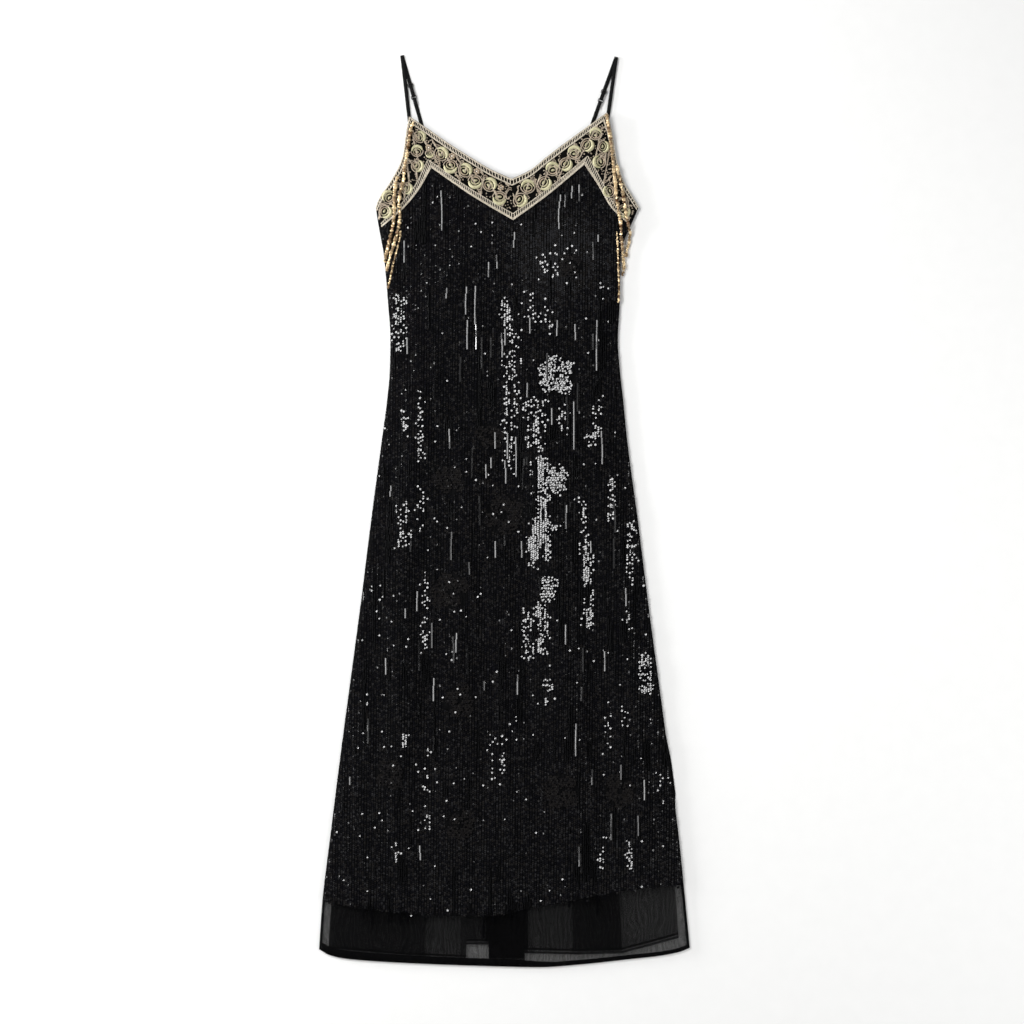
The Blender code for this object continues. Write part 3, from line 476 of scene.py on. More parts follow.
def hex_colour(text):
    """A colour from its sRGB hex digits, as linear light."""
    parts = [int(text[k : k + 2], 16) / 255.0 for k in (0, 2, 4)]
    return tuple(p / 12.92 if p <= 0.04045 else ((p + 0.055) / 1.055) ** 2.4 for p in parts) + (1.0,)


def add_node(tree, kind, sockets=None, **settings):
    """Adds a node. settings are its properties, and sockets its inputs as values or as links."""
    made = tree.nodes.new(kind)
    for key, value in settings.items():
        setattr(made, key, value)
    for key, value in (sockets or {}).items():
        if isinstance(value, bpy.types.NodeSocket):
            tree.links.new(value, made.inputs[key])
        else:
            made.inputs[key].default_value = value
    return made


def new_material(name, roughness, metallic=0.0, **sockets):
    """A material with its Principled shader, its node tree and its object coordinates."""
    made = bpy.data.materials.new(name)
    made.use_nodes = True
    tree = made.node_tree
    shader = tree.nodes["Principled BSDF"]
    shader.inputs["Roughness"].default_value = roughness
    shader.inputs["Metallic"].default_value = metallic
    for key, value in sockets.items():
        shader.inputs[key.replace("_", " ")].default_value = value
    place = add_node(tree, "ShaderNodeTexCoord").outputs["Object"]
    return made, tree, shader, place


def two_tone(tree, shader, factor, low, high):
    """Base colour between two hex colours."""
    tones = {"Factor": factor, "A": hex_colour(low), "B": hex_colour(high)}
    mix = add_node(tree, "ShaderNodeMix", tones, data_type="RGBA")
    tree.links.new(mix.outputs["Result"], shader.inputs["Base Color"])


def bumped(tree, shader, height, strength, distance):
    bump = add_node(tree, "ShaderNodeBump", {"Height": height, "Strength": strength, "Distance": distance})
    tree.links.new(bump.outputs["Normal"], shader.inputs["Normal"])


def sequin_material():
    # Punched black plastic film: glossy, each disc a little bluer or browner than the next; a higher tint is a lighter
    # grey, which also carries painted sheen
    made, tree, shader, place = new_material("punched_black_film", 0.175, Specular_IOR_Level=0.78)
    tint = add_node(tree, "ShaderNodeAttribute", attribute_name="tint").outputs["Fac"]
    ramp = add_node(tree, "ShaderNodeValToRGB", {"Fac": tint})
    stops = ramp.color_ramp.elements
    stops.new(0.45)
    stops.new(0.75)
    for stop, colour in zip(stops, ("020202", "05050a", "161413", "202022")):
        stop.color = hex_colour(colour)
    tree.links.new(ramp.outputs["Color"], shader.inputs["Base Color"])
    grain = add_node(tree, "ShaderNodeTexNoise", {"Vector": place, "Scale": 900.0})
    bumped(tree, shader, grain.outputs["Fac"], 0.10, 0.0003)
    return made


def bugle_material(name, roughness, shine):
    # Drawn black glass tube, smooth along its length: the strings are polished, the field is etched dull
    made, tree, shader, place = new_material(name, roughness, Specular_IOR_Level=shine)
    streaks = add_node(tree, "ShaderNodeMapping", {"Vector": place, "Scale": (900.0, 60.0, 900.0)})
    grain = add_node(tree, "ShaderNodeTexNoise", {"Vector": streaks.outputs["Vector"], "Scale": 1.0})
    two_tone(tree, shader, grain.outputs["Fac"], "010102", "060608")
    return made


def chiffon_material(name, colour_low, colour_high):
    # Plain woven sheer crepe: each ply lets most light through, and folds of it go dark
    made, tree, shader, place = new_material(name, 0.9, Specular_IOR_Level=0.05)
    plies = add_node(tree, "ShaderNodeAttribute", attribute_name="plies").outputs["Fac"]
    stretched = add_node(tree, "ShaderNodeMapping", {"Vector": place, "Scale": (1.0, 0.45, 1.0)})
    moire = add_node(
        tree,
        "ShaderNodeTexWave",
        {"Vector": stretched.outputs["Vector"], "Scale": 48.0, "Distortion": 15.0, "Detail": 1.5},
    )
    weave = add_node(tree, "ShaderNodeTexNoise", {"Vector": place, "Scale": 420.0, "Detail": 3.0})
    two_tone(tree, shader, moire.outputs["Fac"], colour_low, colour_high)
    half = add_node(
        tree,
        "ShaderNodeMapRange",
        {"Value": moire.outputs["Fac"], "To Min": 0.5 - MOIRE / 2, "To Max": 0.5 + MOIRE / 2},
    )
    half = add_node(tree, "ShaderNodeMath", {0: plies, 1: half.outputs["Result"]}, operation="MULTIPLY")
    clear = add_node(tree, "ShaderNodeMath", {0: PLY_CLEAR, 1: half.outputs[0]}, operation="POWER")
    cover = add_node(tree, "ShaderNodeMath", {0: 1.0, 1: clear.outputs[0]}, operation="SUBTRACT")
    uneven = add_node(
        tree,
        "ShaderNodeMapRange",
        {"Value": weave.outputs["Fac"], "From Min": 0.3, "From Max": 0.7, "To Min": 0.94, "To Max": 1.06},
    )
    alpha = add_node(
        tree, "ShaderNodeMath", {0: cover.outputs[0], 1: uneven.outputs["Result"]}, operation="MULTIPLY", use_clamp=True
    )
    tree.links.new(alpha.outputs[0], shader.inputs["Alpha"])
    bumped(tree, shader, weave.outputs["Fac"], 0.25, 0.0002)
    return made


def thread_material(name, low, high, twist, metallic, roughness):
    # Laid embroidery thread: fine slanting plies with a soft metallic sheen
    made, tree, shader, place = new_material(name, roughness, metallic)
    ply = add_node(
        tree,
        "ShaderNodeTexWave",
        {"Vector": place, "Scale": twist, "Distortion": 1.5, "Detail": 1.0},
        bands_direction="DIAGONAL",
    )
    patches = add_node(tree, "ShaderNodeTexNoise", {"Vector": place, "Scale": 160.0, "Detail": 2.0})
    blend = add_node(tree, "ShaderNodeMath", {0: ply.outputs["Fac"], 1: patches.outputs["Fac"]}, operation="MULTIPLY")
    lift = add_node(tree, "ShaderNodeMath", {0: blend.outputs[0], 1: 1.8}, operation="MULTIPLY", use_clamp=True)
    two_tone(tree, shader, lift.outputs[0], low, high)
    bumped(tree, shader, ply.outputs["Fac"], 0.5, 0.0003)
    return made


def patterned_material(name, roughness, kind, pattern, low, high, bump=0.0, direction="", **sockets):
    """A material of two tones in one pattern, raised by it where bump is given."""
    made, tree, shader, place = new_material(name, roughness, **sockets)
    settings = {"bands_direction": direction} if direction else {}
    tones = add_node(tree, "ShaderNodeTex" + kind, {"Vector": place, **pattern}, **settings).outputs["Fac"]
    two_tone(tree, shader, tones, low, high)
    if bump:
        bumped(tree, shader, tones, bump, 0.0002)
    return made


def gold_bead_material():
    # Lacquered gold-tone metal cups, each a random tone from dark brown to pale cream
    made, tree, shader, place = new_material("lacquered_gold_cups", 0.28, 0.35)
    cup_tone = add_node(tree, "ShaderNodeAttribute", attribute_name="tint")
    two_tone(tree, shader, cup_tone.outputs["Fac"], "523312", "f8deb0")
    return made


def ease(value):
    """0 to 1 with soft ends."""
    value = np.clip(value, 0.0, 1.0)
    return value * value * (3.0 - 2.0 * value)


def hermite(knots, values, tangents, at):
    knots = np.asarray(knots, float)
    values = np.asarray(values, float)
    at = np.clip(np.asarray(at, float), knots[0], knots[-1])
    spans = np.diff(knots)
    i = np.clip(np.searchsorted(knots, at, side="right") - 1, 0, len(spans) - 1)
    t = (at - knots[i]) / spans[i]
    start = (2 * t**3 - 3 * t**2 + 1) * values[i] + (t**3 - 2 * t**2 + t) * spans[i] * tangents[i]
    end = (3 * t**2 - 2 * t**3) * values[i + 1] + (t**3 - t**2) * spans[i] * tangents[i + 1]
    return start + end


def read(rows, along, wanted, at):
    """Reads one column of a table at places of another, on a curve that never overshoots its rows."""
    knots = np.array([getattr(row, along) for row in rows])
    values = np.array([getattr(row, wanted) for row in rows])
    slopes = np.diff(values) / np.diff(knots)
    bends = slopes[:-1] * slopes[1:]
    tangents = np.concatenate(([slopes[0]], np.zeros(len(rows) - 2), [slopes[-1]]))
    same_way = bends > 0
    tangents[1:-1][same_way] = 2 * bends[same_way] / (slopes[:-1] + slopes[1:])[same_way]
    return hermite(knots, values, tangents, at)


def unit(vectors):
    return vectors / np.linalg.norm(vectors, axis=-1)[..., None]


def run_length(route):
    return float(np.linalg.norm(np.diff(np.array(route), axis=0), axis=1).sum())


def through(route, at):
    """Points at shares 0 to 1 of the length of a smooth curve through a few points."""
    route = np.array(route, float)
    steps = np.linalg.norm(np.diff(route, axis=0), axis=1)
    knots = np.concatenate(([0.0], np.cumsum(steps)))
    tangents = np.gradient(route, knots, axis=0)
    at = np.asarray(at, float) * knots[-1]
    places = [hermite(knots, route[:, k], tangents[:, k], at) for k in range(route.shape[1])]
    return np.stack(places, axis=-1)


def height_at(edge, place):
    """Height of an edge that runs across the dress."""
    return read(edge, "place", "height", place)


def side_edge(height, side):
    """Outline of the front at a height, on its side seam or its armhole."""
    seam = read(SIDE_SEAMS, "height", side, height)
    arm = read(ARMHOLES, "height", side, height)
    return np.where(np.asarray(height) > UNDERARM, arm, seam)


def neck_edge(place):
    """Height of the neckline at a place across the dress."""
    left = height_at(NECK_LEFT, place)
    right = height_at(NECK_RIGHT, place)
    return np.where(np.asarray(place) < NECK_LEFT[-1].place, left, right)


def across(share, height):
    """Place at a share of the width between the side seams."""
    left = read(SIDE_SEAMS, "height", "left", height)
    right = read(SIDE_SEAMS, "height", "right", height)
    return left + share * (right - left)


def roll(distance, width):
    """A round edge: 0 at the edge, 1 from its width inwards."""
    inside = np.clip(distance / width, 0.0, 1.0)
    return np.sqrt(np.clip(1.0 - (1.0 - inside) ** 2, 0.0, 1.0))


def fold_height(x, y):
    """Height that the large folds add to the front."""
    total = np.zeros_like(x)
    for fold in FOLDS:
        knots = (fold.foot, fold.middle, fold.top)
        places = (fold.foot_x, fold.middle_x, fold.top_x)
        slopes = np.gradient(np.array(places), np.array(knots))
        centre = hermite(knots, places, slopes, y)
        run = (y - fold.foot) / (fold.top - fold.foot)
        fade = ease(run / FOLD_FOOT_FADE) * ease((1.0 - run) / FOLD_TOP_FADE)
        total += fold.rise * fade * np.exp(-(((x - centre) / fold.width) ** 2))
    return total


def front_level(x, y):
    """Height of the front's inner face over the floor."""
    left = x - side_edge(y, "left")
    right = side_edge(y, "right") - x
    side = np.minimum(left, right)
    hem = y - height_at(HEM, x)
    neck = (neck_edge(x) - y) * NECK_SLOPE
    below = ease((UNDERARM + UNDERARM_SHIFT - y) / UNDERARM_BLEND)
    seamed = SEAM_LEVEL + (BODY_LEVEL - SEAM_LEVEL) * roll(side, ROLL_WIDTH) * roll(hem, HEM_ROLL_WIDTH)
    free = np.clip(np.minimum(side * ARM_SLOPE, neck) / BAND_WIDTH, 0.0, 1.0)
    loose = FREE_EDGE_LEVEL + (BODY_LEVEL - FREE_EDGE_LEVEL) * free
    near_edge = ease((side - SEAM_FLAT) / FOLD_SIDE_FADE) * ease(hem / FOLD_HEM_FADE)
    under_band = ease((np.minimum(side, neck) - BAND_WIDTH) / FOLD_HEM_FADE)
    folds = fold_height(x, y) * np.where(y > BUST_HEIGHT, under_band, near_edge)
    return below * seamed + (1.0 - below) * loose + folds


def beaded(x, y):
    """1 over the beading and 0 on the sheer hem."""
    edge = height_at(BEADING_END, x)
    return ease((y - edge) / BEADING_FADE + 0.5)


def front_top(x, y):
    wall = CHIFFON_WALL + (BEADED_WALL - CHIFFON_WALL) * beaded(x, y)
    return front_level(x, y) + wall


def crease_height(x, y):
    """Height that the small creases add, each fading out at both ends."""
    total = np.zeros_like(x)
    for crease in CREASES:
        run = (y - crease.foot) / (crease.top - crease.foot)
        centre = crease.foot_x + (crease.top_x - crease.foot_x) * run
        fade = ease(run / CREASE_FADE) * ease((1.0 - run) / CREASE_FADE)
        total += crease.rise * fade * np.exp(-(((x - centre) / crease.width) ** 2))
    return total


def cloth_top(x, y):
    return front_top(x, y) + crease_height(x, y)


def on_cloth(x, y, lift):
    """Places lifted off the front's cloth."""
    return np.stack((x, y, cloth_top(x, y) + lift), axis=-1)


def bugle_field(x, y):
    """Smooth random hills between 0 and 1. The beading is bugles where it is above BUGLE_SHARE."""
    across_cells = (x + FIELD_CORNER[0]) / FIELD_CELL[0]
    up_cells = (y + FIELD_CORNER[1]) / FIELD_CELL[1]
    i = np.floor(across_cells).astype(int)
    j = np.floor(up_cells).astype(int)
    a = ease(across_cells - i)
    b = ease(up_cells - j)
    i %= CELLS - 1
    j %= CELLS - 1
    low = HILLS[j, i] * (1 - a) + HILLS[j, i + 1] * a
    high = HILLS[j + 1, i] * (1 - a) + HILLS[j + 1, i + 1] * a
    return low * (1 - b) + high * b


def mesh_data(name, shape):
    """The mesh of a bmesh, which is freed."""
    data = bpy.data.meshes.new(name)
    shape.to_mesh(data)
    shape.free()
    return data


def placed(name, data):
    """A new object in the scene."""
    made = bpy.data.objects.new(name, data)
    bpy.context.scene.collection.objects.link(made)
    return made


def keep(name, data, finish):
    """Puts a finished mesh into the scene as a piece of the dress."""
    made = placed(name, data)
    data.materials.clear()
    data.materials.append(finish)
    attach(made, "root")
    return made


def cloth_piece(name, x, y, z, plies, finish):
    """A thin shell of cloth on rows and columns of points. plies is a number for each cell."""
    rows, columns = x.shape
    mesh = bmesh.new()
    bmesh.ops.create_grid(mesh, x_segments=columns - 1, y_segments=rows - 1, size=1.0)
    layer = mesh.faces.layers.float.new("plies")
    for face in mesh.faces:
        centre = face.calc_center_median()
        i = int((centre.x + 1.0) / 2.0 * (columns - 1))
        j = int((centre.y + 1.0) / 2.0 * (rows - 1))
        face[layer] = plies[j, i]
        face.smooth = True
    for vert in mesh.verts:
        i = round((vert.co.x + 1.0) / 2.0 * (columns - 1))
        j = round((vert.co.y + 1.0) / 2.0 * (rows - 1))
        vert.co = (x[j, i], y[j, i], z[j, i])
    made = keep(name, mesh_data(name, mesh), finish)
    shell = made.modifiers.new("thickness", "SOLIDIFY")
    shell.thickness = CLOTH_THICKNESS
    shell.offset = -1.0
    return made


def repeat_shape(name, shape, places, turns, finish, tint=None, smooth=False):
    """One mesh with a copy of a small shape at every place. turns are 3 x 3 frames, scaled if need be."""
    bmesh.ops.triangulate(shape, faces=shape.faces)
    corners = np.array([vert.co for vert in shape.verts])
    faces = np.array([[vert.index for vert in face.verts] for face in shape.faces])
    shape.free()
    count = len(places)
    verts = np.einsum("nij,kj->nki", turns, corners) + np.asarray(places)[:, None, :]
    index = faces[None] + len(corners) * np.arange(count)[:, None, None]
    data = bpy.data.meshes.new(name)
    data.from_pydata(verts.reshape(-1, 3), [], index.reshape(-1, 3))
    if tint is not None:
        layer = data.attributes.new("tint", "FLOAT", "POINT")
        layer.data.foreach_set("value", np.repeat(tint, len(corners)).astype(np.float32))
    if smooth:
        data.shade_smooth()
    data.validate()
    return keep(name, data, finish)


def facing(normals, spin):
    """Frames whose third axis is each normal, turned by spin about it."""
    third = unit(normals)
    helper = np.where(np.abs(third[:, 1:2]) < 0.9, [[0.0, 1.0, 0.0]], [[1.0, 0.0, 0.0]])
    first = unit(np.cross(helper, third))
    second = np.cross(third, first)
    turned = first * np.cos(spin)[:, None] + second * np.sin(spin)[:, None]
    other = np.cross(third, turned)
    return np.stack((turned, other, third), axis=2)


def disc(radius, cup):
    """A six-sided sequin, slightly cupped so that each of its facets catches the light alone."""
    shape = bmesh.new()
    bmesh.ops.create_circle(shape, cap_ends=True, cap_tris=True, segments=6, radius=radius)
    for vert in shape.verts:
        if vert.co.length < radius / 2:
            vert.co.z = -cup
    return shape


def tube(radius, length, sides):
    """A tube along Y with its middle at the origin."""
    shape = bmesh.new()
    bmesh.ops.create_cone(
        shape, cap_ends=False, segments=sides, radius1=radius, radius2=radius, depth=length,
        matrix=Matrix.Rotation(math.pi / 2, 4, "X") @ Matrix.Rotation(math.pi / 2, 4, "Z"),
    )
    return shape


def bead(radius, squash):
    """A low round bead. Its parts are sorted, because the sphere comes in another order on each run."""
    shape = bmesh.new()
    bmesh.ops.create_uvsphere(shape, u_segments=8, v_segments=5, radius=radius)
    shape.verts.sort(key=lambda vert: vert.co.dot(SORTING_WAY))
    shape.verts.index_update()
    shape.faces.sort(key=lambda face: face.calc_center_median().dot(SORTING_WAY))
    bmesh.ops.scale(shape, vec=(1.0, 1.0, squash), verts=shape.verts)
    return shape


def round_cords(name, runs, finish, sides=1):
    """Round cords as one mesh. Each run is its points and the radius at each."""
    curve = bpy.data.curves.new(name, "CURVE")
    curve.dimensions = "3D"
    curve.bevel_depth = 1.0
    curve.bevel_resolution = sides
    curve.use_fill_caps = True
    for route, radii in runs:
        spline = curve.splines.new("POLY")
        spline.points.add(len(route) - 1)
        for point, place, radius in zip(spline.points, route, np.broadcast_to(radii, len(route))):
            point.co = (*place, 1.0)
            point.radius = radius
    holder = placed(name + "_path", curve)
    graph = bpy.context.evaluated_depsgraph_get()
    data = bpy.data.meshes.new_from_object(holder.evaluated_get(graph))
    bpy.data.objects.remove(holder)
    data.name = name
    data.shade_smooth()
    return keep(name, data, finish)


def surface_normals(x, y):
    """Normals of the front's cloth at some places."""
    slope_x = (cloth_top(x + SLOPE_STEP, y) - cloth_top(x - SLOPE_STEP, y)) / (2 * SLOPE_STEP)
    slope_y = (cloth_top(x, y + SLOPE_STEP) - cloth_top(x, y - SLOPE_STEP)) / (2 * SLOPE_STEP)
    return np.stack((-slope_x, -slope_y, np.ones_like(x)), axis=-1)


def mirror_way(x, y, light):
    """Normals that send a light's beam straight up to the camera."""
    place = np.stack((x, y, np.zeros_like(x)), axis=-1)
    return unit(np.array(light.place) - place) + unit(np.array((*VIEW_CENTRE, CAMERA_HEIGHT)) - place)


def beading_top(x):
    """Height of the bands' inner edge, where the beading starts."""
    corners = ARM_INNER_LEFT[::-1] + (INNER_NECK_POINT,) + ARM_INNER_RIGHT
    places = [corner[0] for corner in corners]
    heights = [corner[1] for corner in corners]
    return np.interp(x, places, heights)


def in_beading(x, y, margin):
    side = np.minimum(x - side_edge(y, "left"), side_edge(y, "right") - x)
    low = height_at(BEADING_END, x)
    return (side > margin) & (y < beading_top(x) + BEADING_OVERLAP) & (y > low)


def streak(column, y):
    """Between 0 and 1, alike along a stretch of one column of sequins."""
    cells = (y + FIELD_CORNER[1]) / STREAK_LENGTH + column * STREAK_SHIFT
    j = np.floor(cells).astype(int)
    b = ease(cells - j)
    return STREAKS[j % CELLS, column % CELLS] * (1 - b) + STREAKS[(j + 1) % CELLS, column % CELLS] * b


def glare_share(x, y):
    total = GLARE_ELSEWHERE * (1.0 - CHEST_DIMMER * ease((y - CHEST_HEIGHT) / CHEST_BLEND))
    for glare in GLARES:
        run = ease((glare.top - y) / GLARE_FADE) * ease((y - glare.foot) / GLARE_FADE)
        total += glare.share * run * np.exp(-(((x - glare.x) / glare.width) ** 4))
    return total


def flower_mask(x, y, grow):
    inside = np.zeros(x.shape, bool)
    for flower in FLOWERS:
        inside |= np.hypot(x - flower.x, (y - flower.y) / flower.tall) < flower.radius * grow
    return inside


def make_camera():
    data = bpy.data.cameras.new("camera")
    data.sensor_width = 36.0
    data.lens = data.sensor_width * CAMERA_HEIGHT / VIEW_WIDTH
    camera = placed("camera", data)
    camera.location = (*VIEW_CENTRE, CAMERA_HEIGHT)
    bpy.context.scene.camera = camera


def make_lights():
    for light in LIGHTS:
        data = bpy.data.lights.new(light.name, "AREA")
        data.shape = "RECTANGLE"
        data.size = light.width
        data.size_y = light.length
        data.energy = light.watts
        lamp = placed(light.name, data)
        lamp.location = light.place
        way = Vector(light.target) - Vector(light.place)
        lamp.rotation_euler = way.to_track_quat("-Z", "Y").to_euler()
    world = bpy.data.worlds.new("studio")
    bpy.context.scene.world = world
    world.use_nodes = True
    tree = world.node_tree
    background = tree.nodes["Background"]
    way = add_node(tree, "ShaderNodeTexCoord").outputs["Generated"]
    split = add_node(tree, "ShaderNodeSeparateXYZ", {"Vector": way})
    ramp = add_node(tree, "ShaderNodeValToRGB", {"Fac": split.outputs["Z"]})
    stops = ramp.color_ramp.elements
    for row in SKY[2:]:
        stops.new(row.height)
    for stop, row in zip(stops, sorted(SKY, key=lambda row: row.height)):
        stop.position = row.height
        stop.color = (row.light, row.light, row.light, 1.0)
    tree.links.new(ramp.outputs["Color"], background.inputs["Color"])


def make_floor():
    mesh = bmesh.new()
    bmesh.ops.create_grid(mesh, x_segments=4, y_segments=4, size=FLOOR_REACH)
    bmesh.ops.translate(mesh, vec=(0.0, 0.0, -FLOOR_DROP), verts=mesh.verts)
    floor = placed("floor", mesh_data("floor", mesh))
    # Plain matt white paper
    paper = patterned_material("matt_white_paper", 0.9, "Noise", {"Scale": 40.0, "Detail": 6.0}, "f0f0ef", "f4f4f3")
    floor.data.materials.append(paper)


def make_strands(finish):
    """Strings of gold cups and beads, each on its own smooth route."""
    for name, (width, route) in STRANDS.items():
        length = run_length(route)
        count = round(length / (width * CUP_PITCH))
        places = through(route, np.linspace(0.0, 1.0, count))
        forward = unit(np.gradient(places, axis=0))
        places += draws.normal(0.0, CUP_WANDER, (count, 3))
        lean = draws.normal(0.0, CUP_LEAN, (count, 3))
        lean[:, 2] = CUP_UP
        lean += forward * draws.normal(0.0, CUP_PITCHING, count)[:, None]
        frames = facing(lean, draws.random(count) * FULL_TURN)
        sizes = draws.uniform(*CUP_SIZES, count)
        cup_tone = draws.random(count)
        places[:, 2] = np.maximum(places[:, 2], width / 2 * sizes)
        frames *= sizes[:, None, None]
        cup = bead(width / 2, CUP_SQUASH)
        piece = repeat_shape(name + "_cups", cup, places, frames, finish, tint=cup_tone, smooth=True)
        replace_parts(piece, name)


def hem_width(share):
    """Width of the turned hem, as a share of its widest, across the cloth."""
    return np.interp(share, *zip(*HEM_WIDTHS))


def fine_front():
    """Places of the front cloth's grid, with its column shares."""
    arm_steps = np.linspace(0.0, len(ARMHOLE_UPS) - 1.0, ARM_COLUMNS + 1)
    arm_heights = np.interp(arm_steps, range(len(ARMHOLE_UPS)), ARMHOLE_UPS)
    arm_shares = np.interp(arm_steps, range(len(ARMHOLE_SHARES)), ARMHOLE_SHARES)
    steps = np.linspace(0.0, 1.0, NECK_COLUMNS + 1)
    tip_left = NECK_LEFT[0]
    tip_right = NECK_RIGHT[-1]
    up = UNDERARM + arm_heights * (tip_left.height - UNDERARM)
    down = UNDERARM + arm_heights[::-1] * (tip_right.height - UNDERARM)
    neck_left = tip_left.place + steps[1:] * (NECK_LEFT[-1].place - tip_left.place)
    neck_right = NECK_RIGHT[0].place + steps[1:] * (tip_right.place - NECK_RIGHT[0].place)
    neck = np.concatenate((neck_left, neck_right))
    arm_left = read(ARMHOLES, "height", "left", up)
    arm_right = read(ARMHOLES, "height", "right", down)
    top_x = np.concatenate((arm_left, neck, arm_right[1:]))
    top_y = np.concatenate((up, neck_edge(neck), down[1:]))
    share = np.concatenate(
        (
            arm_shares,
            STRAP_SHARE + steps[1:] * (NECK_POINT_SHARE - STRAP_SHARE),
            NECK_POINT_SHARE + steps[1:] * (1.0 - STRAP_SHARE - NECK_POINT_SHARE),
            1.0 - arm_shares[::-1][1:],
        )
    )
    hem_y = height_at(HEM, across(share, HEM[0].height))
    bead_y = height_at(BEADING_END, across(share, BEADING_END[0].height))
    turn_y = hem_y + np.array(HEM_TURN_ROWS)[:, None] * hem_width(share)
    sheer = np.linspace(0.0, 1.0, SHEER_ROWS + 1)[1:, None]
    turned_y = turn_y[-1]
    sheer_y = turned_y + (bead_y - turned_y) * sheer
    high = np.linspace(0.0, 1.0, BODY_ROWS + 1)[1:, None]
    high_y = bead_y + (top_y - bead_y) * high
    low_y = np.concatenate((turn_y, sheer_y))
    lean = ease((high_y - LEAN_START) / (top_y - LEAN_START))
    high_x = across(share, high_y) + lean * (top_x - across(share, top_y))
    x = np.concatenate((across(share, low_y), high_x))
    y = np.concatenate((low_y, high_y))
    plies = np.full((x.shape[0] - 1, x.shape[1] - 1), BEADED_PLIES)
    plies[: len(low_y) - 1] = SHEER_PLIES
    plies[: len(HEM_TURN_ROWS) - 1] = TURNED_PLIES
    middle = (share[1:] + share[:-1]) / 2
    seam = (middle < SEAM_TURN_SHARE) | (middle > 1.0 - SEAM_TURN_SHARE)
    plies[: len(low_y) - 1, seam] = TURNED_PLIES
    return x, y, plies


def make_front(finish):
    x, y, plies = fine_front()
    piece = cloth_piece("front_cloth", x, y, cloth_top(x, y), plies, finish)
    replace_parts(piece, "front_panel")


def make_back(finish):
    inner = np.linspace(BACK_FIRST_SHARE, 1.0 - BACK_FIRST_SHARE, BACK_COLUMNS)
    share = np.concatenate(([0.0, SEAM_TURN_SHARE], inner, [1.0 - SEAM_TURN_SHARE, 1.0]))
    hem_y = height_at(HEM, across(share, HEM[0].height)) + BACK_SHORTER
    top_y = height_at(BACK_TOP, across(share, BACK_TOP[0].height))
    bead_y = height_at(BEADING_END, across(share, BEADING_END[0].height))
    turned_y = hem_y + HEM_TURN * hem_width(share)
    rows = [hem_y, turned_y]
    rows += [turned_y + (bead_y - turned_y) * up for up in np.linspace(0.0, 1.0, BACK_SHEER_ROWS)[1:]]
    rows += [bead_y + (top_y - bead_y) * up for up in np.linspace(0.0, 1.0, BACK_ROWS)[1:]]
    y = np.array(rows)
    slip = SLIP_OUT * ease((SLIP_HIGH - y) / SLIP_FADE) * ease((y - SLIP_LOW) / SLIP_STEP)
    x = across(share, y) + slip * ease((share - SLIP_SHARE) / (1.0 - SLIP_SHARE))
    plies = np.full((y.shape[0] - 1, len(share) - 1), BEADED_PLIES)
    plies[:BACK_SHEER_ROWS] = SHEER_PLIES
    plies[0] = TURNED_PLIES
    plies[:BACK_SHEER_ROWS, (0, -1)] = TURNED_PLIES
    piece = cloth_piece("back_cloth", x, y, np.full_like(x, BACK_LEVEL), plies, finish)
    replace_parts(piece, "back_panel")


def make_lining(node, level, shorter, finish):
    """One layer of the lining's hem, with its step, its fold and its turned edge."""
    spread = [row.place for row in LINING_HEM]
    places = np.unique(np.concatenate((np.linspace(spread[0], spread[-1], LINING_COLUMNS), spread)))
    hem_y = np.interp(places, spread, [row.height for row in LINING_HEM]) + shorter
    rows = [hem_y, hem_y + HEM_TURN * LINING_TURN]
    rows += [hem_y + HEM_TURN + (LINING_TOP - hem_y - HEM_TURN) * up for up in np.linspace(0.0, 1.0, LINING_ROWS)]
    y = np.array(rows)
    side = across(0.0, y) + LINING_INSET
    x = places * side / (across(0.0, HEM[0].height) + LINING_INSET)
    ripple = RIPPLE_HEIGHT * np.sin(x * RIPPLES) * ease((LINING_TOP - y) / RIPPLE_FADE)
    middle = (places[1:] + places[:-1]) / 2
    plies = np.full((len(rows) - 1, len(middle)), SHEER_PLIES)
    for band in LINING_BANDS:
        inside = (middle > band.left) & (middle < band.right)
        plies[:, inside] = band.plies
    plies[0] = LINING_TURNED_PLIES
    piece = cloth_piece(node + "_cloth", x, y, level + ripple, plies, finish)
    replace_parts(piece, node)


def sequin_columns():
    """Places of the sequins, in columns down the front, each column half a row off the next."""
    columns = np.arange(*SEQUIN_COLUMNS)
    rows = np.arange(*SEQUIN_ROWS)
    i, j = np.meshgrid(columns, rows, indexing="ij")
    y = (j + 0.5 * (i % 2)) * ROW_PITCH + draws.normal(0.0, ROW_JITTER, i.shape)
    sway = COLUMN_SWAY * np.sin(y * 23.0 + i * 0.9)
    x = i * COLUMN_PITCH + sway + draws.normal(0.0, COLUMN_JITTER, i.shape)
    return i.ravel(), x.ravel(), y.ravel()


def toward_key(x, y, scatter):
    """Normals that send the key light up to the camera, a little scattered."""
    toward = mirror_way(x, y, LIGHTS[0])
    toward /= toward[:, 2:3]
    toward[:, :2] += draws.normal(0.0, scatter, (len(x), 2))
    return toward


def sequin_normals(x, y):
    """Normals of sequins, which follow the cloth's slopes only in part."""
    normals = surface_normals(x, y)
    normals[:, :2] *= SEQUIN_FOLLOW
    return normals


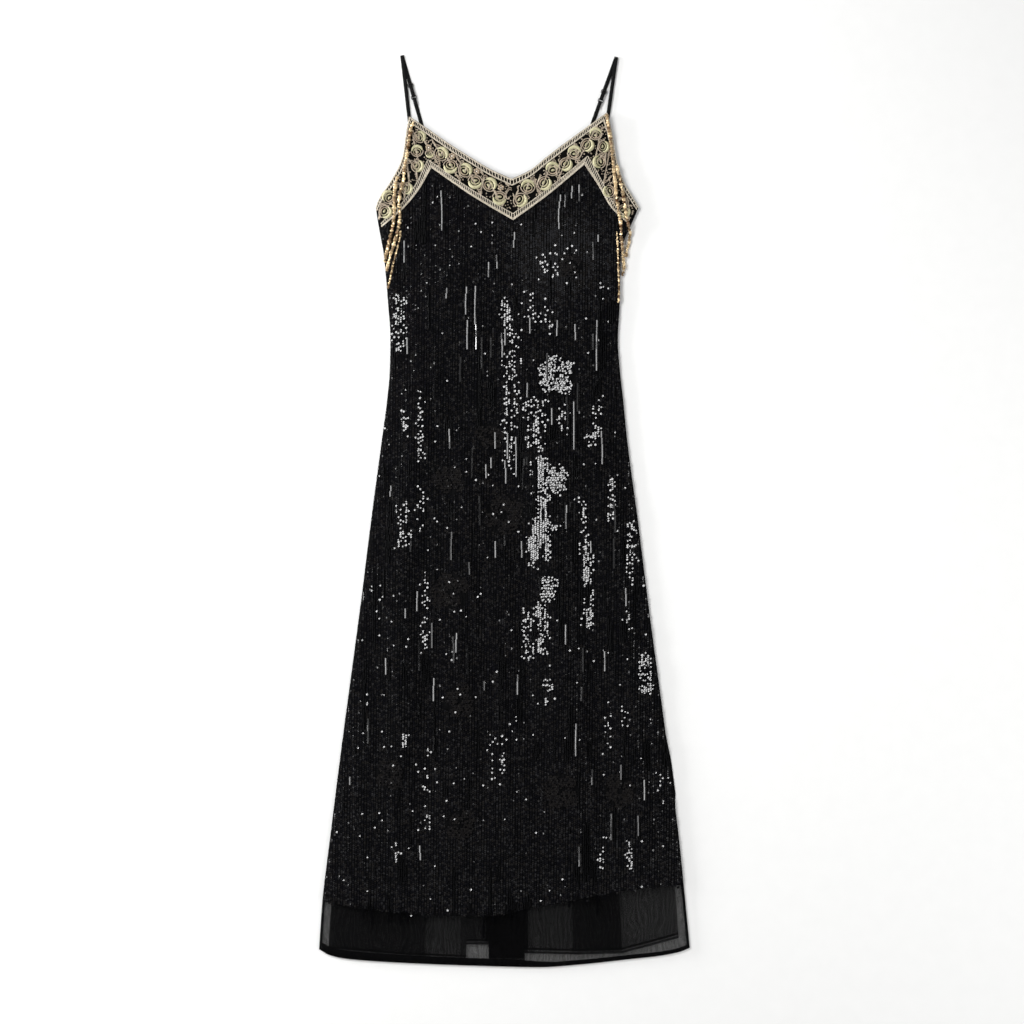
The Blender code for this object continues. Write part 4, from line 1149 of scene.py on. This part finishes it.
def make_sequins(finish):
    column, x, y = sequin_columns()
    kind = bugle_field(x, y)
    fringe = draws.normal(0.0, BEADING_FRINGE, x.shape)
    inside = in_beading(x, y + fringe, BEADING_MARGIN) & (kind < BUGLE_SHARE) & ~flower_mask(x, y, 0.9)
    column, x, y = column[inside], x[inside], y[inside]
    along = streak(column, y)
    share = glare_share(x, y) * GLARE_GAIN * (0.25 + 1.5 * along)
    lit = draws.random(x.shape) < share
    normals = sequin_normals(x, y)
    normals[:, 1] -= SEQUIN_NOD
    normals[:, 0] += np.where(column % 2 == 0, SEQUIN_ROCK, -SEQUIN_ROCK) + STREAK_ROCK * (along - 0.5)
    spread = np.where(draws.random(len(x)) < WILD_SHARE, WILD_TILT, CALM_TILT)
    normals[:, :2] += draws.normal(0.0, 1.0, (len(x), 2)) * spread[:, None]
    normals = np.where(lit[:, None], toward_key(x, y, GLARE_SCATTER), normals)
    frames = facing(normals, draws.random(len(x)) * FULL_TURN)
    frames *= draws.uniform(*SEQUIN_SIZES, len(x))[:, None, None]
    places = on_cloth(x, y, SEQUIN_LIFT + draws.uniform(0.0, SEQUIN_LAP, x.shape))
    low = ease(-(y + 0.1) / 0.5)
    tint = 0.15 + 0.80 * draws.random(x.shape) ** 1.5 + 0.20 * low * draws.random(x.shape)
    # Painted sheen: the tint is raised in a soft patch on the chest's right, so the sequins there read lighter grey
    beside = (x - PAINTED_SHEEN_MIDDLE[0]) / PAINTED_SHEEN_REACH
    above = (y - PAINTED_SHEEN_MIDDLE[1]) / PAINTED_SHEEN_REACH
    tint += PAINTED_SHEEN_TINT * np.exp(-(beside**2) - above**2)
    upper = y > 0.0
    for name, part in (("sequins_upper", upper), ("sequins_lower", ~upper)):
        repeat_shape(
            name, disc(SEQUIN_RADIUS, SEQUIN_CUP), places[part], frames[part], finish, tint=tint[part]
        )


def in_petals(flower, a, b):
    """Whether places beside a flower's middle are on one of its uneven petals."""
    inside = np.zeros(a.shape, bool)
    for k in range(PETALS):
        angle = 2 * math.pi * (k + 0.25 * math.sin(k * 5.1 + flower.x * 90.0)) / PETALS + flower.y * 70.0
        reach = flower.radius * (0.56 + 0.08 * math.sin(k * 2.7 + flower.x * 50.0))
        size = flower.radius * (0.40 + 0.07 * math.sin(k * 3.9 + flower.y * 40.0))
        inside |= np.hypot(a - reach * math.cos(angle), b - reach * math.sin(angle)) < size
    radius = np.hypot(a, b)
    inside |= radius < flower.radius * 0.45 * (flower.hollow == 0.0)
    return inside & (radius > flower.hollow * flower.radius)


def make_flowers(finish):
    """Flat sequins in round flowers with petals."""
    found = []
    for flower in FLOWERS:
        reach = flower.radius * 1.1
        steps = np.arange(-reach, reach, PETAL_PITCH)
        a, b = np.meshgrid(steps, steps)
        a = (a + 0.5 * PETAL_PITCH * (np.arange(len(steps))[:, None] % 2)).ravel()
        a = a + draws.normal(0.0, PETAL_JITTER, a.shape)
        b = b.ravel() + draws.normal(0.0, PETAL_JITTER, a.shape)
        chosen = in_petals(flower, a, b) & (draws.random(a.shape) < PETAL_COVER)
        radius = np.hypot(a, b)[chosen] / flower.radius
        x = flower.x + a[chosen]
        y = flower.y + b[chosen] * flower.tall
        lit = draws.random(x.shape) < flower.bright * (1.15 - 0.45 * radius)
        found.append(np.stack((x, y, lit, np.full_like(x, flower.bright > 0.5)), axis=-1))
    x, y, lit, bright = np.concatenate(found).T
    toward = toward_key(x, y, PETAL_SCATTER)
    plain = sequin_normals(x, y)
    plain[:, :2] += draws.normal(0.0, PETAL_SCATTER, (len(x), 2))
    normals = np.where(lit[:, None] > 0.5, toward, plain)
    frames = facing(normals, draws.random(len(x)) * FULL_TURN)
    places = on_cloth(x, y, SEQUIN_LIFT + SEQUIN_LAP + draws.uniform(0.0, SEQUIN_LAP, x.shape))
    # Painted dim sheen: flowers that don't face the key light get a lighter grey tint than the bright ones
    tint = np.where(bright > 0.5, 0.4, 0.55 + 0.25 * draws.random(x.shape))
    repeat_shape("sequin_flowers", disc(PETAL_RADIUS, SEQUIN_CUP), places, frames, finish, tint=tint)


def string_places(x, top, foot, sway):
    """Middles and slopes of bugle beads end to end down one string."""
    count = max(1, round((top - foot) / BUGLE_LENGTH))
    y = top - (np.arange(count) + 0.5) * (top - foot) / count
    bent = x + sway * np.sin((top - y) / (top - foot) * 2.4)
    return bent, y, np.full(count, (top - foot) / count / BUGLE_LENGTH)


def tube_frames(x, y, lean, spin, stretch, follow=1.0):
    """Frames of tubes that lie down the cloth, leaning sideways, turned about their length."""
    normals = surface_normals(x, y)
    normals[:, 1] *= follow
    normals = unit(normals)
    along = np.stack((lean, np.ones_like(x), np.zeros_like(x)), axis=-1)
    along = unit(along - normals * (along * normals).sum(axis=1)[:, None])
    side = np.cross(along, normals)
    first = side * np.cos(spin)[:, None] + normals * np.sin(spin)[:, None]
    third = np.cross(first, along)
    return np.stack((first, along * stretch[:, None], third), axis=2)


def make_bugles(finish, polished):
    """Bugle beads: many plain strings, and the few that catch the light."""
    columns = np.arange(*BUGLE_COLUMNS)
    rows = np.arange(*BUGLE_ROWS)
    i, j = np.meshgrid(columns, rows, indexing="ij")
    shift = draws.random(len(columns))[:, None] * BUGLE_LENGTH
    x = (i * BUGLE_PITCH + draws.normal(0.0, BUGLE_JITTER, i.shape)).ravel()
    y = (j * BUGLE_LENGTH * BUGLE_STEP + shift).ravel()
    kind = bugle_field(x, y)
    chosen = in_beading(x, y - BUGLE_LENGTH / 2, BEADING_MARGIN) & (kind >= BUGLE_SHARE) & ~flower_mask(x, y, 0.95)
    x, y = x[chosen], y[chosen]
    lean = draws.normal(0.0, BUGLE_LEAN, x.shape)
    frames = tube_frames(x, y, lean, draws.random(len(x)) * FULL_TURN, np.full(len(x), 0.96))
    shape = tube(BUGLE_RADIUS, BUGLE_LENGTH, 8)
    repeat_shape("bugle_beads", shape, on_cloth(x, y, BUGLE_LIFT), frames, finish, smooth=True)
    found = [string_places(row.x, row.top, row.foot, draws.normal(0.0, 0.0012)) for row in BRIGHT_BUGLES + DRIPS]
    off = [draws.normal(0.0, BRIGHT_TILT) for row in BRIGHT_BUGLES] + [DRIP_TILT for row in DRIPS]
    for _ in range(LOOSE_STRINGS):
        x, top, long = draws.uniform(-0.26, 0.26), draws.uniform(-0.52, 0.40), draws.uniform(0.012, 0.050)
        if in_beading(np.array([x, x]), np.array([top, top - long]), STRING_MARGIN).all():
            found.append(string_places(x, top, top - long, draws.normal(0.0, 0.0015)))
            off.append(draws.normal(0.0, LOOSE_TILT))
    off = np.concatenate([np.full(len(part[0]), value) for part, value in zip(found, off)])
    x, y, stretch = (np.concatenate(part) for part in zip(*found))
    toward = mirror_way(x, y, LIGHTS[1])
    lie = surface_normals(x, y)
    turn = np.arctan2(toward[:, 0], toward[:, 2]) - np.arctan2(lie[:, 0], lie[:, 2]) + off
    turn += draws.normal(0.0, STRING_SCATTER, len(x))
    frames = tube_frames(x, y, np.zeros_like(x), -turn, stretch * 0.97, follow=0.0)
    shape = tube(STRING_RADIUS, BUGLE_LENGTH, 6)
    repeat_shape("bugle_strings", shape, on_cloth(x, y, STRING_LIFT), frames, polished)


def edge_runs():
    """Outer and inner edges of the four bands, from end to end."""
    runs = []
    sides = (("left", NECK_LEFT, INNER_APEX_LEFT, -1.0), ("right", NECK_RIGHT, INNER_APEX_RIGHT, 1.0))
    for side, rows, apex, away in sides:
        ends = np.array([(row.place, row.height) for row in rows])
        if away < 0:
            ends = ends[::-1]
        outer = np.concatenate(([ends[0] + (away * MITRE_GAP, 0.0)], ends[1:-1], [ends[-1]]))
        start = np.array(INNER_NECK_POINT) + (away * MITRE_GAP, 0.0)
        end = np.array(apex) - (away * MITRE_GAP, 0.0)
        middle = (start + end) / 2 - (0.0, INNER_BOW)
        runs.append(("neck_trim_" + side, outer, np.array([start, middle, end])))
    arms = (("left", ARM_INNER_LEFT, NECK_LEFT[0], -1.0), ("right", ARM_INNER_RIGHT, NECK_RIGHT[-1], 1.0))
    for side, corners, tip, away in arms:
        heights = np.linspace(tip.height, UNDERARM, 9)
        outer = np.stack((read(ARMHOLES, "height", side, heights), heights), axis=1)
        inner = np.array(corners)
        inner[0] += (away * MITRE_GAP * 1.5, -MITRE_GAP)
        runs.append(("armhole_trim_" + side, outer, inner))
    return runs


def along_band(outer, inner, share_along, share_over):
    """Places on a band at shares of its length and of its width."""
    outside = through(outer, share_along)
    inside = through(inner, share_along)
    return outside + (inside - outside) * np.asarray(share_over)[..., None]


def make_ground(name, outer, inner, finish):
    """The black ribbon under a band's embroidery."""
    shares = np.linspace(0.0, 1.0, 15)
    steps = np.linspace(0.0, 1.0, BAND_STEPS // 2)
    plan = np.stack([along_band(outer, inner, steps, share) for share in shares])
    x = plan[..., 0]
    y = plan[..., 1]
    z = cloth_top(x, y) + GROUND_LIFT
    piece = cloth_piece(name + "_ribbon", x, y, z, np.ones((x.shape[0] - 1, x.shape[1] - 1)), finish)
    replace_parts(piece, name)


def braid_runs(outer, inner):
    """Rails and rungs of the ladder braids along a band."""
    runs = []
    steps = np.linspace(0.0, 1.0, BAND_STEPS)
    for share in RAIL_LINES:
        plan = along_band(outer, inner, steps, np.full(BAND_STEPS, share))
        runs.append((on_cloth(*plan.T, GROUND_LIFT + RAIL_LIFT), RAIL_RADIUS))
    length = run_length(through(outer, steps))
    count = round(length / RUNG_PITCH)
    for low, high in RUNG_ROWS:
        for k in range(count):
            at = np.full(2, (k + 0.5) / count)
            plan = along_band(outer, inner, at, np.array([low, high]))
            runs.append((on_cloth(*plan.T, GROUND_LIFT + RUNG_LIFT), RUNG_RADIUS))
    return runs


def turned(place, angle, shape):
    """A flat shape's points turned by an angle and moved to a place."""
    c = math.cos(angle)
    s = math.sin(angle)
    a, b = np.asarray(shape).T
    return np.stack((place[0] + a * c - b * s, place[1] + a * s + b * c), axis=1)


def oval(place, turn, reach, half, angles):
    """Places round an oval: reach toward the way it faces, half across."""
    return turned(place, turn, np.stack((reach * np.cos(angles), half * np.sin(angles)), axis=1))


def paisley_runs(paisley):
    """One paisley: its crescent, the scroll and bean inside it, the stem behind and the cord round its back."""
    place = (paisley.x, paisley.y)
    turn = math.radians(paisley.facing)
    size = paisley.size
    spread = math.radians(CRESCENT_SPREAD)
    angles = np.linspace(-spread, spread, 15)
    bow = oval(place, turn, CRESCENT_REACH * size, CRESCENT_HALF * size, angles)
    thick = CRESCENT_TIP + (CRESCENT_THICK - CRESCENT_TIP) * np.cos(angles / spread * math.pi / 2 * 0.96)
    crescent = [(on_cloth(*bow.T, GROUND_LIFT + CRESCENT_LIFT), thick * size)]
    middle = turned(place, turn, [(SCROLL_REAR * size, 0.0)])[0]
    run = np.linspace(-1.0, 1.0, 13)
    taper = 0.35 + 0.65 * np.cos(run * math.pi / 2 * 0.96)
    scroll = oval(middle, turn, SCROLL_REACH * size, SCROLL_HALF * size, SCROLL_SPREAD * run)
    bean = turned(place, turn, np.stack((BEAN_REAR - 0.0008 * run**2, BEAN_HALF * run), axis=1) * size)
    rear = oval(place, turn, REAR_REACH * size, REAR_HALF * size, math.pi + REAR_SPREAD * run)
    pad = [
        (on_cloth(*scroll.T, GROUND_LIFT + STITCH_LIFT), SCROLL_THICK * size * taper),
        (on_cloth(*bean.T, GROUND_LIFT + STITCH_LIFT), BEAN_THICK * size * taper),
    ]
    stem = [(on_cloth(*rear.T, GROUND_LIFT + STITCH_LIFT), REAR_THICK * size * taper)]
    angles = np.linspace(spread, 2 * math.pi - spread, 16)
    rim = oval(place, turn, OUTLINE_REACH * size, OUTLINE_HALF * size, angles)
    outline = [(on_cloth(*rim.T, GROUND_LIFT + CRESCENT_LIFT), OUTLINE_RADIUS)]
    return crescent, pad, stem, outline


def press_down(piece):
    """Flattens padded stitches toward the ribbon that they are worked on."""
    count = len(piece.data.vertices)
    points = np.empty(count * 3, np.float32)
    piece.data.vertices.foreach_get("co", points)
    points = points.reshape(-1, 3)
    base = cloth_top(points[:, 0], points[:, 1]) + GROUND_LIFT
    points[:, 2] = base + np.maximum((points[:, 2] - base) * PADDING, -0.0003)
    piece.data.vertices.foreach_set("co", points.ravel())
    piece.data.update()


def vine_runs(vine, outer, inner):
    """A twin cord that winds along a band, with leaves on both sides."""
    length = run_length(through(outer, np.linspace(0, 1, 60)))
    steps = np.linspace(0.004, 0.996, 90)

    def swing(share_along):
        return VINE_MIDDLE + VINE_SWING * np.cos(2 * math.pi * (share_along * length - vine.crest) / vine.repeat)

    runs = []
    for beside in (-VINE_TWIN, VINE_TWIN):
        plan = along_band(outer, inner, steps, swing(steps) + beside)
        runs.append((on_cloth(*plan.T, GROUND_LIFT + 0.0001), VINE_RADIUS))
    count = int(length / vine.repeat * 4)
    for k in range(count):
        at = (k + 0.5) / count
        side = 1.0 if k % 2 else -1.0
        run = np.linspace(0.0, 1.0, 6)
        over = swing(np.full(6, at)) + side * (0.05 + run * 0.15)
        further = np.clip(at + run * VINE_LEAF / length, 0.0, 1.0)
        plan = along_band(outer, inner, further, np.clip(over, *VINE_BOUNDS))
        thick = 0.0004 + LEAF_RADIUS * np.sin(np.clip(run, 0.1, 0.95) * math.pi) ** 0.7
        runs.append((on_cloth(*plan.T, GROUND_LIFT - 0.0002), thick))
    return runs


def floret_places(paisley):
    """Middle and petals of the floret behind a paisley."""
    turn = math.radians(paisley.facing)
    middle = turned((paisley.x, paisley.y), turn, [(-FLORET_REACH * paisley.size, 0.0)])[0]
    angles = turn + np.arange(FLORET_PETALS) * 2 * math.pi / FLORET_PETALS
    return middle, middle + FLORET_RADIUS * np.stack((np.cos(angles), np.sin(angles)), axis=1)


def knot_places(outer, inner):
    """Knots scattered over a band, clear of its paisleys and braids."""
    length = run_length(through(outer, np.linspace(0, 1, 40)))
    count = round(length * BAND_WIDTH / KNOT_PITCH**2)
    plan = along_band(outer, inner, draws.uniform(0.01, 0.99, count), draws.uniform(0.19, 0.80, count))
    middles = np.array([(row.x, row.y) for row in PAISLEYS])
    reach = np.array([row.size for row in PAISLEYS]) * (CRESCENT_HALF + CRESCENT_THICK)
    clear = (np.linalg.norm(plan[:, None, :] - middles[None], axis=2) > reach).all(axis=1)
    return plan[clear]


def make_bands():
    # Matt black ribbon under the embroidery
    ground = patterned_material(
        "black_ribbon_ground", 0.85, "Checker", {"Scale": 1200.0}, "020202", "0a0908", bump=0.3, Specular_IOR_Level=0.06
    )
    braid = thread_material("couched_champagne_braid", "918674", "f5ebd8", 900.0, 0.05, 0.50)
    green = thread_material("padded_olive_gold_thread", "7f7955", "e8e2bc", 500.0, 0.10, 0.42)
    olive = thread_material("laid_olive_beige_thread", "6a6448", "dcd4ae", 600.0, 0.08, 0.45)
    pink = thread_material("laid_rose_beige_thread", "6b5c4b", "d8c4a8", 500.0, 0.05, 0.50)
    silver = thread_material("couched_silver_cord", "6d6050", "d8c8b2", 700.0, 0.10, 0.42)
    edges = {name: (outer, inner) for name, outer, inner in edge_runs()}
    rails = []
    for name, (outer, inner) in edges.items():
        make_ground(name, outer, inner, ground)
        rails += braid_runs(outer, inner)
    round_cords("ladder_braids", rails, braid)
    crescents, pads, stems, outlines = (sum(part, []) for part in zip(*map(paisley_runs, PAISLEYS)))
    low, high = FLORET_FACING
    florets = [floret_places(paisley) for paisley in PAISLEYS if low < paisley.facing < high]
    middles, petals = zip(*florets)
    press_down(round_cords("paisley_crescents", crescents, green, sides=2))
    press_down(round_cords("paisley_pads", pads, olive))
    press_down(round_cords("paisley_stems", stems, pink))
    round_cords("paisley_outlines", outlines, silver)
    vines = sum((vine_runs(vine, *edges[vine.band]) for vine in VINES), [])
    round_cords("winding_vines", vines, silver)
    knots = np.concatenate([knot_places(*run) for run in edges.values()])
    scatter_beads("knots", knots, KNOT_RADIUS, silver)
    scatter_beads("floret_petals", np.concatenate(petals), FLORET_PETAL, pink)
    # Pale glass seed beads
    glass = patterned_material(
        "pale_glass_beads", 0.18, "Noise", {"Scale": 400.0}, "d8cdbd", "fffdf6", Coat_Weight=0.5
    )
    scatter_beads("pale_beads", np.array(middles), PEARL_RADIUS, glass)


def scatter_beads(name, dots, radius, finish):
    """Round beads of one size at places on the bands."""
    places = on_cloth(*dots.T, GROUND_LIFT + radius * 0.8)
    frames = np.repeat(np.eye(3)[None], len(dots), axis=0) * draws.uniform(0.8, 1.15, len(dots))[:, None, None]
    repeat_shape(name, bead(radius, 0.8), places, frames, finish, smooth=True)


def softened_tape(name, node, finish):
    """A strap or tab as woven tape: the CAD solid's own form with its edges rounded."""
    mesh = bmesh.new()
    mesh.from_mesh(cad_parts[node].data)
    bmesh.ops.remove_doubles(mesh, verts=mesh.verts, dist=TAPE_MERGE)
    bmesh.ops.dissolve_limit(mesh, angle_limit=TAPE_FLATNESS, verts=mesh.verts, edges=mesh.edges)
    sharp = [edge for edge in mesh.edges if len(edge.link_faces) == 2 and edge.calc_face_angle(0.0) > TAPE_CORNER]
    bmesh.ops.bevel(
        mesh, geom=sharp, offset=TAPE_ROUND, offset_type="OFFSET", segments=2, profile=0.5, affect="EDGES", material=-1,
        clamp_overlap=True,
    )
    data = mesh_data(name, mesh)
    data.shade_smooth()
    data.set_sharp_from_angle(angle=math.radians(50.0))
    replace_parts(keep(name, data, finish), node)


def main():
    bpy.context.scene.view_settings.view_transform = "Standard"
    bpy.context.scene.cycles.transparent_max_bounces = 24
    make_camera()
    gold = gold_bead_material()
    make_strands(gold)
    make_lights()
    make_floor()
    front_chiffon = chiffon_material("sheer_black_crepe", "040405", "0a0a0b")
    lining_chiffon = chiffon_material("sheer_black_lining", "040405", "09090b")
    make_back(front_chiffon)
    make_lining("lining_back", LINING_BACK_LEVEL, LINING_BACK_SHORTER, lining_chiffon)
    make_lining("lining_front", LINING_FRONT_LEVEL, 0.0, lining_chiffon)
    make_front(front_chiffon)
    film = sequin_material()
    make_sequins(film)
    make_flowers(film)
    etched = bugle_material("etched_black_glass", 0.50, 0.06)
    make_bugles(etched, bugle_material("polished_black_glass", 0.12, 0.70))
    make_bands()
    # Black satin tape: a fine ribbed weave with a dull sheen
    tape = patterned_material(
        "black_satin_tape", 0.60, "Wave", {"Scale": 500.0}, "030303", "0c0c0d", bump=0.4, direction="Y",
        Specular_IOR_Level=0.12,
    )
    for side in ("left", "right"):
        softened_tape("strap_tape_" + side, "strap_" + side, tape)
        softened_tape("tab_tape_" + side, "strap_tab_" + side, tape)
    # Black nylon-coated metal
    metal = patterned_material(
        "black_coated_metal", 0.28, "Noise", {"Scale": 1500.0}, "070707", "151516", Specular_IOR_Level=0.6
    )
    for node in ("strap_ring_left", "strap_ring_right", "strap_slide_left", "strap_slide_right"):
        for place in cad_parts[node].material_slots:
            place.material = metal


main()
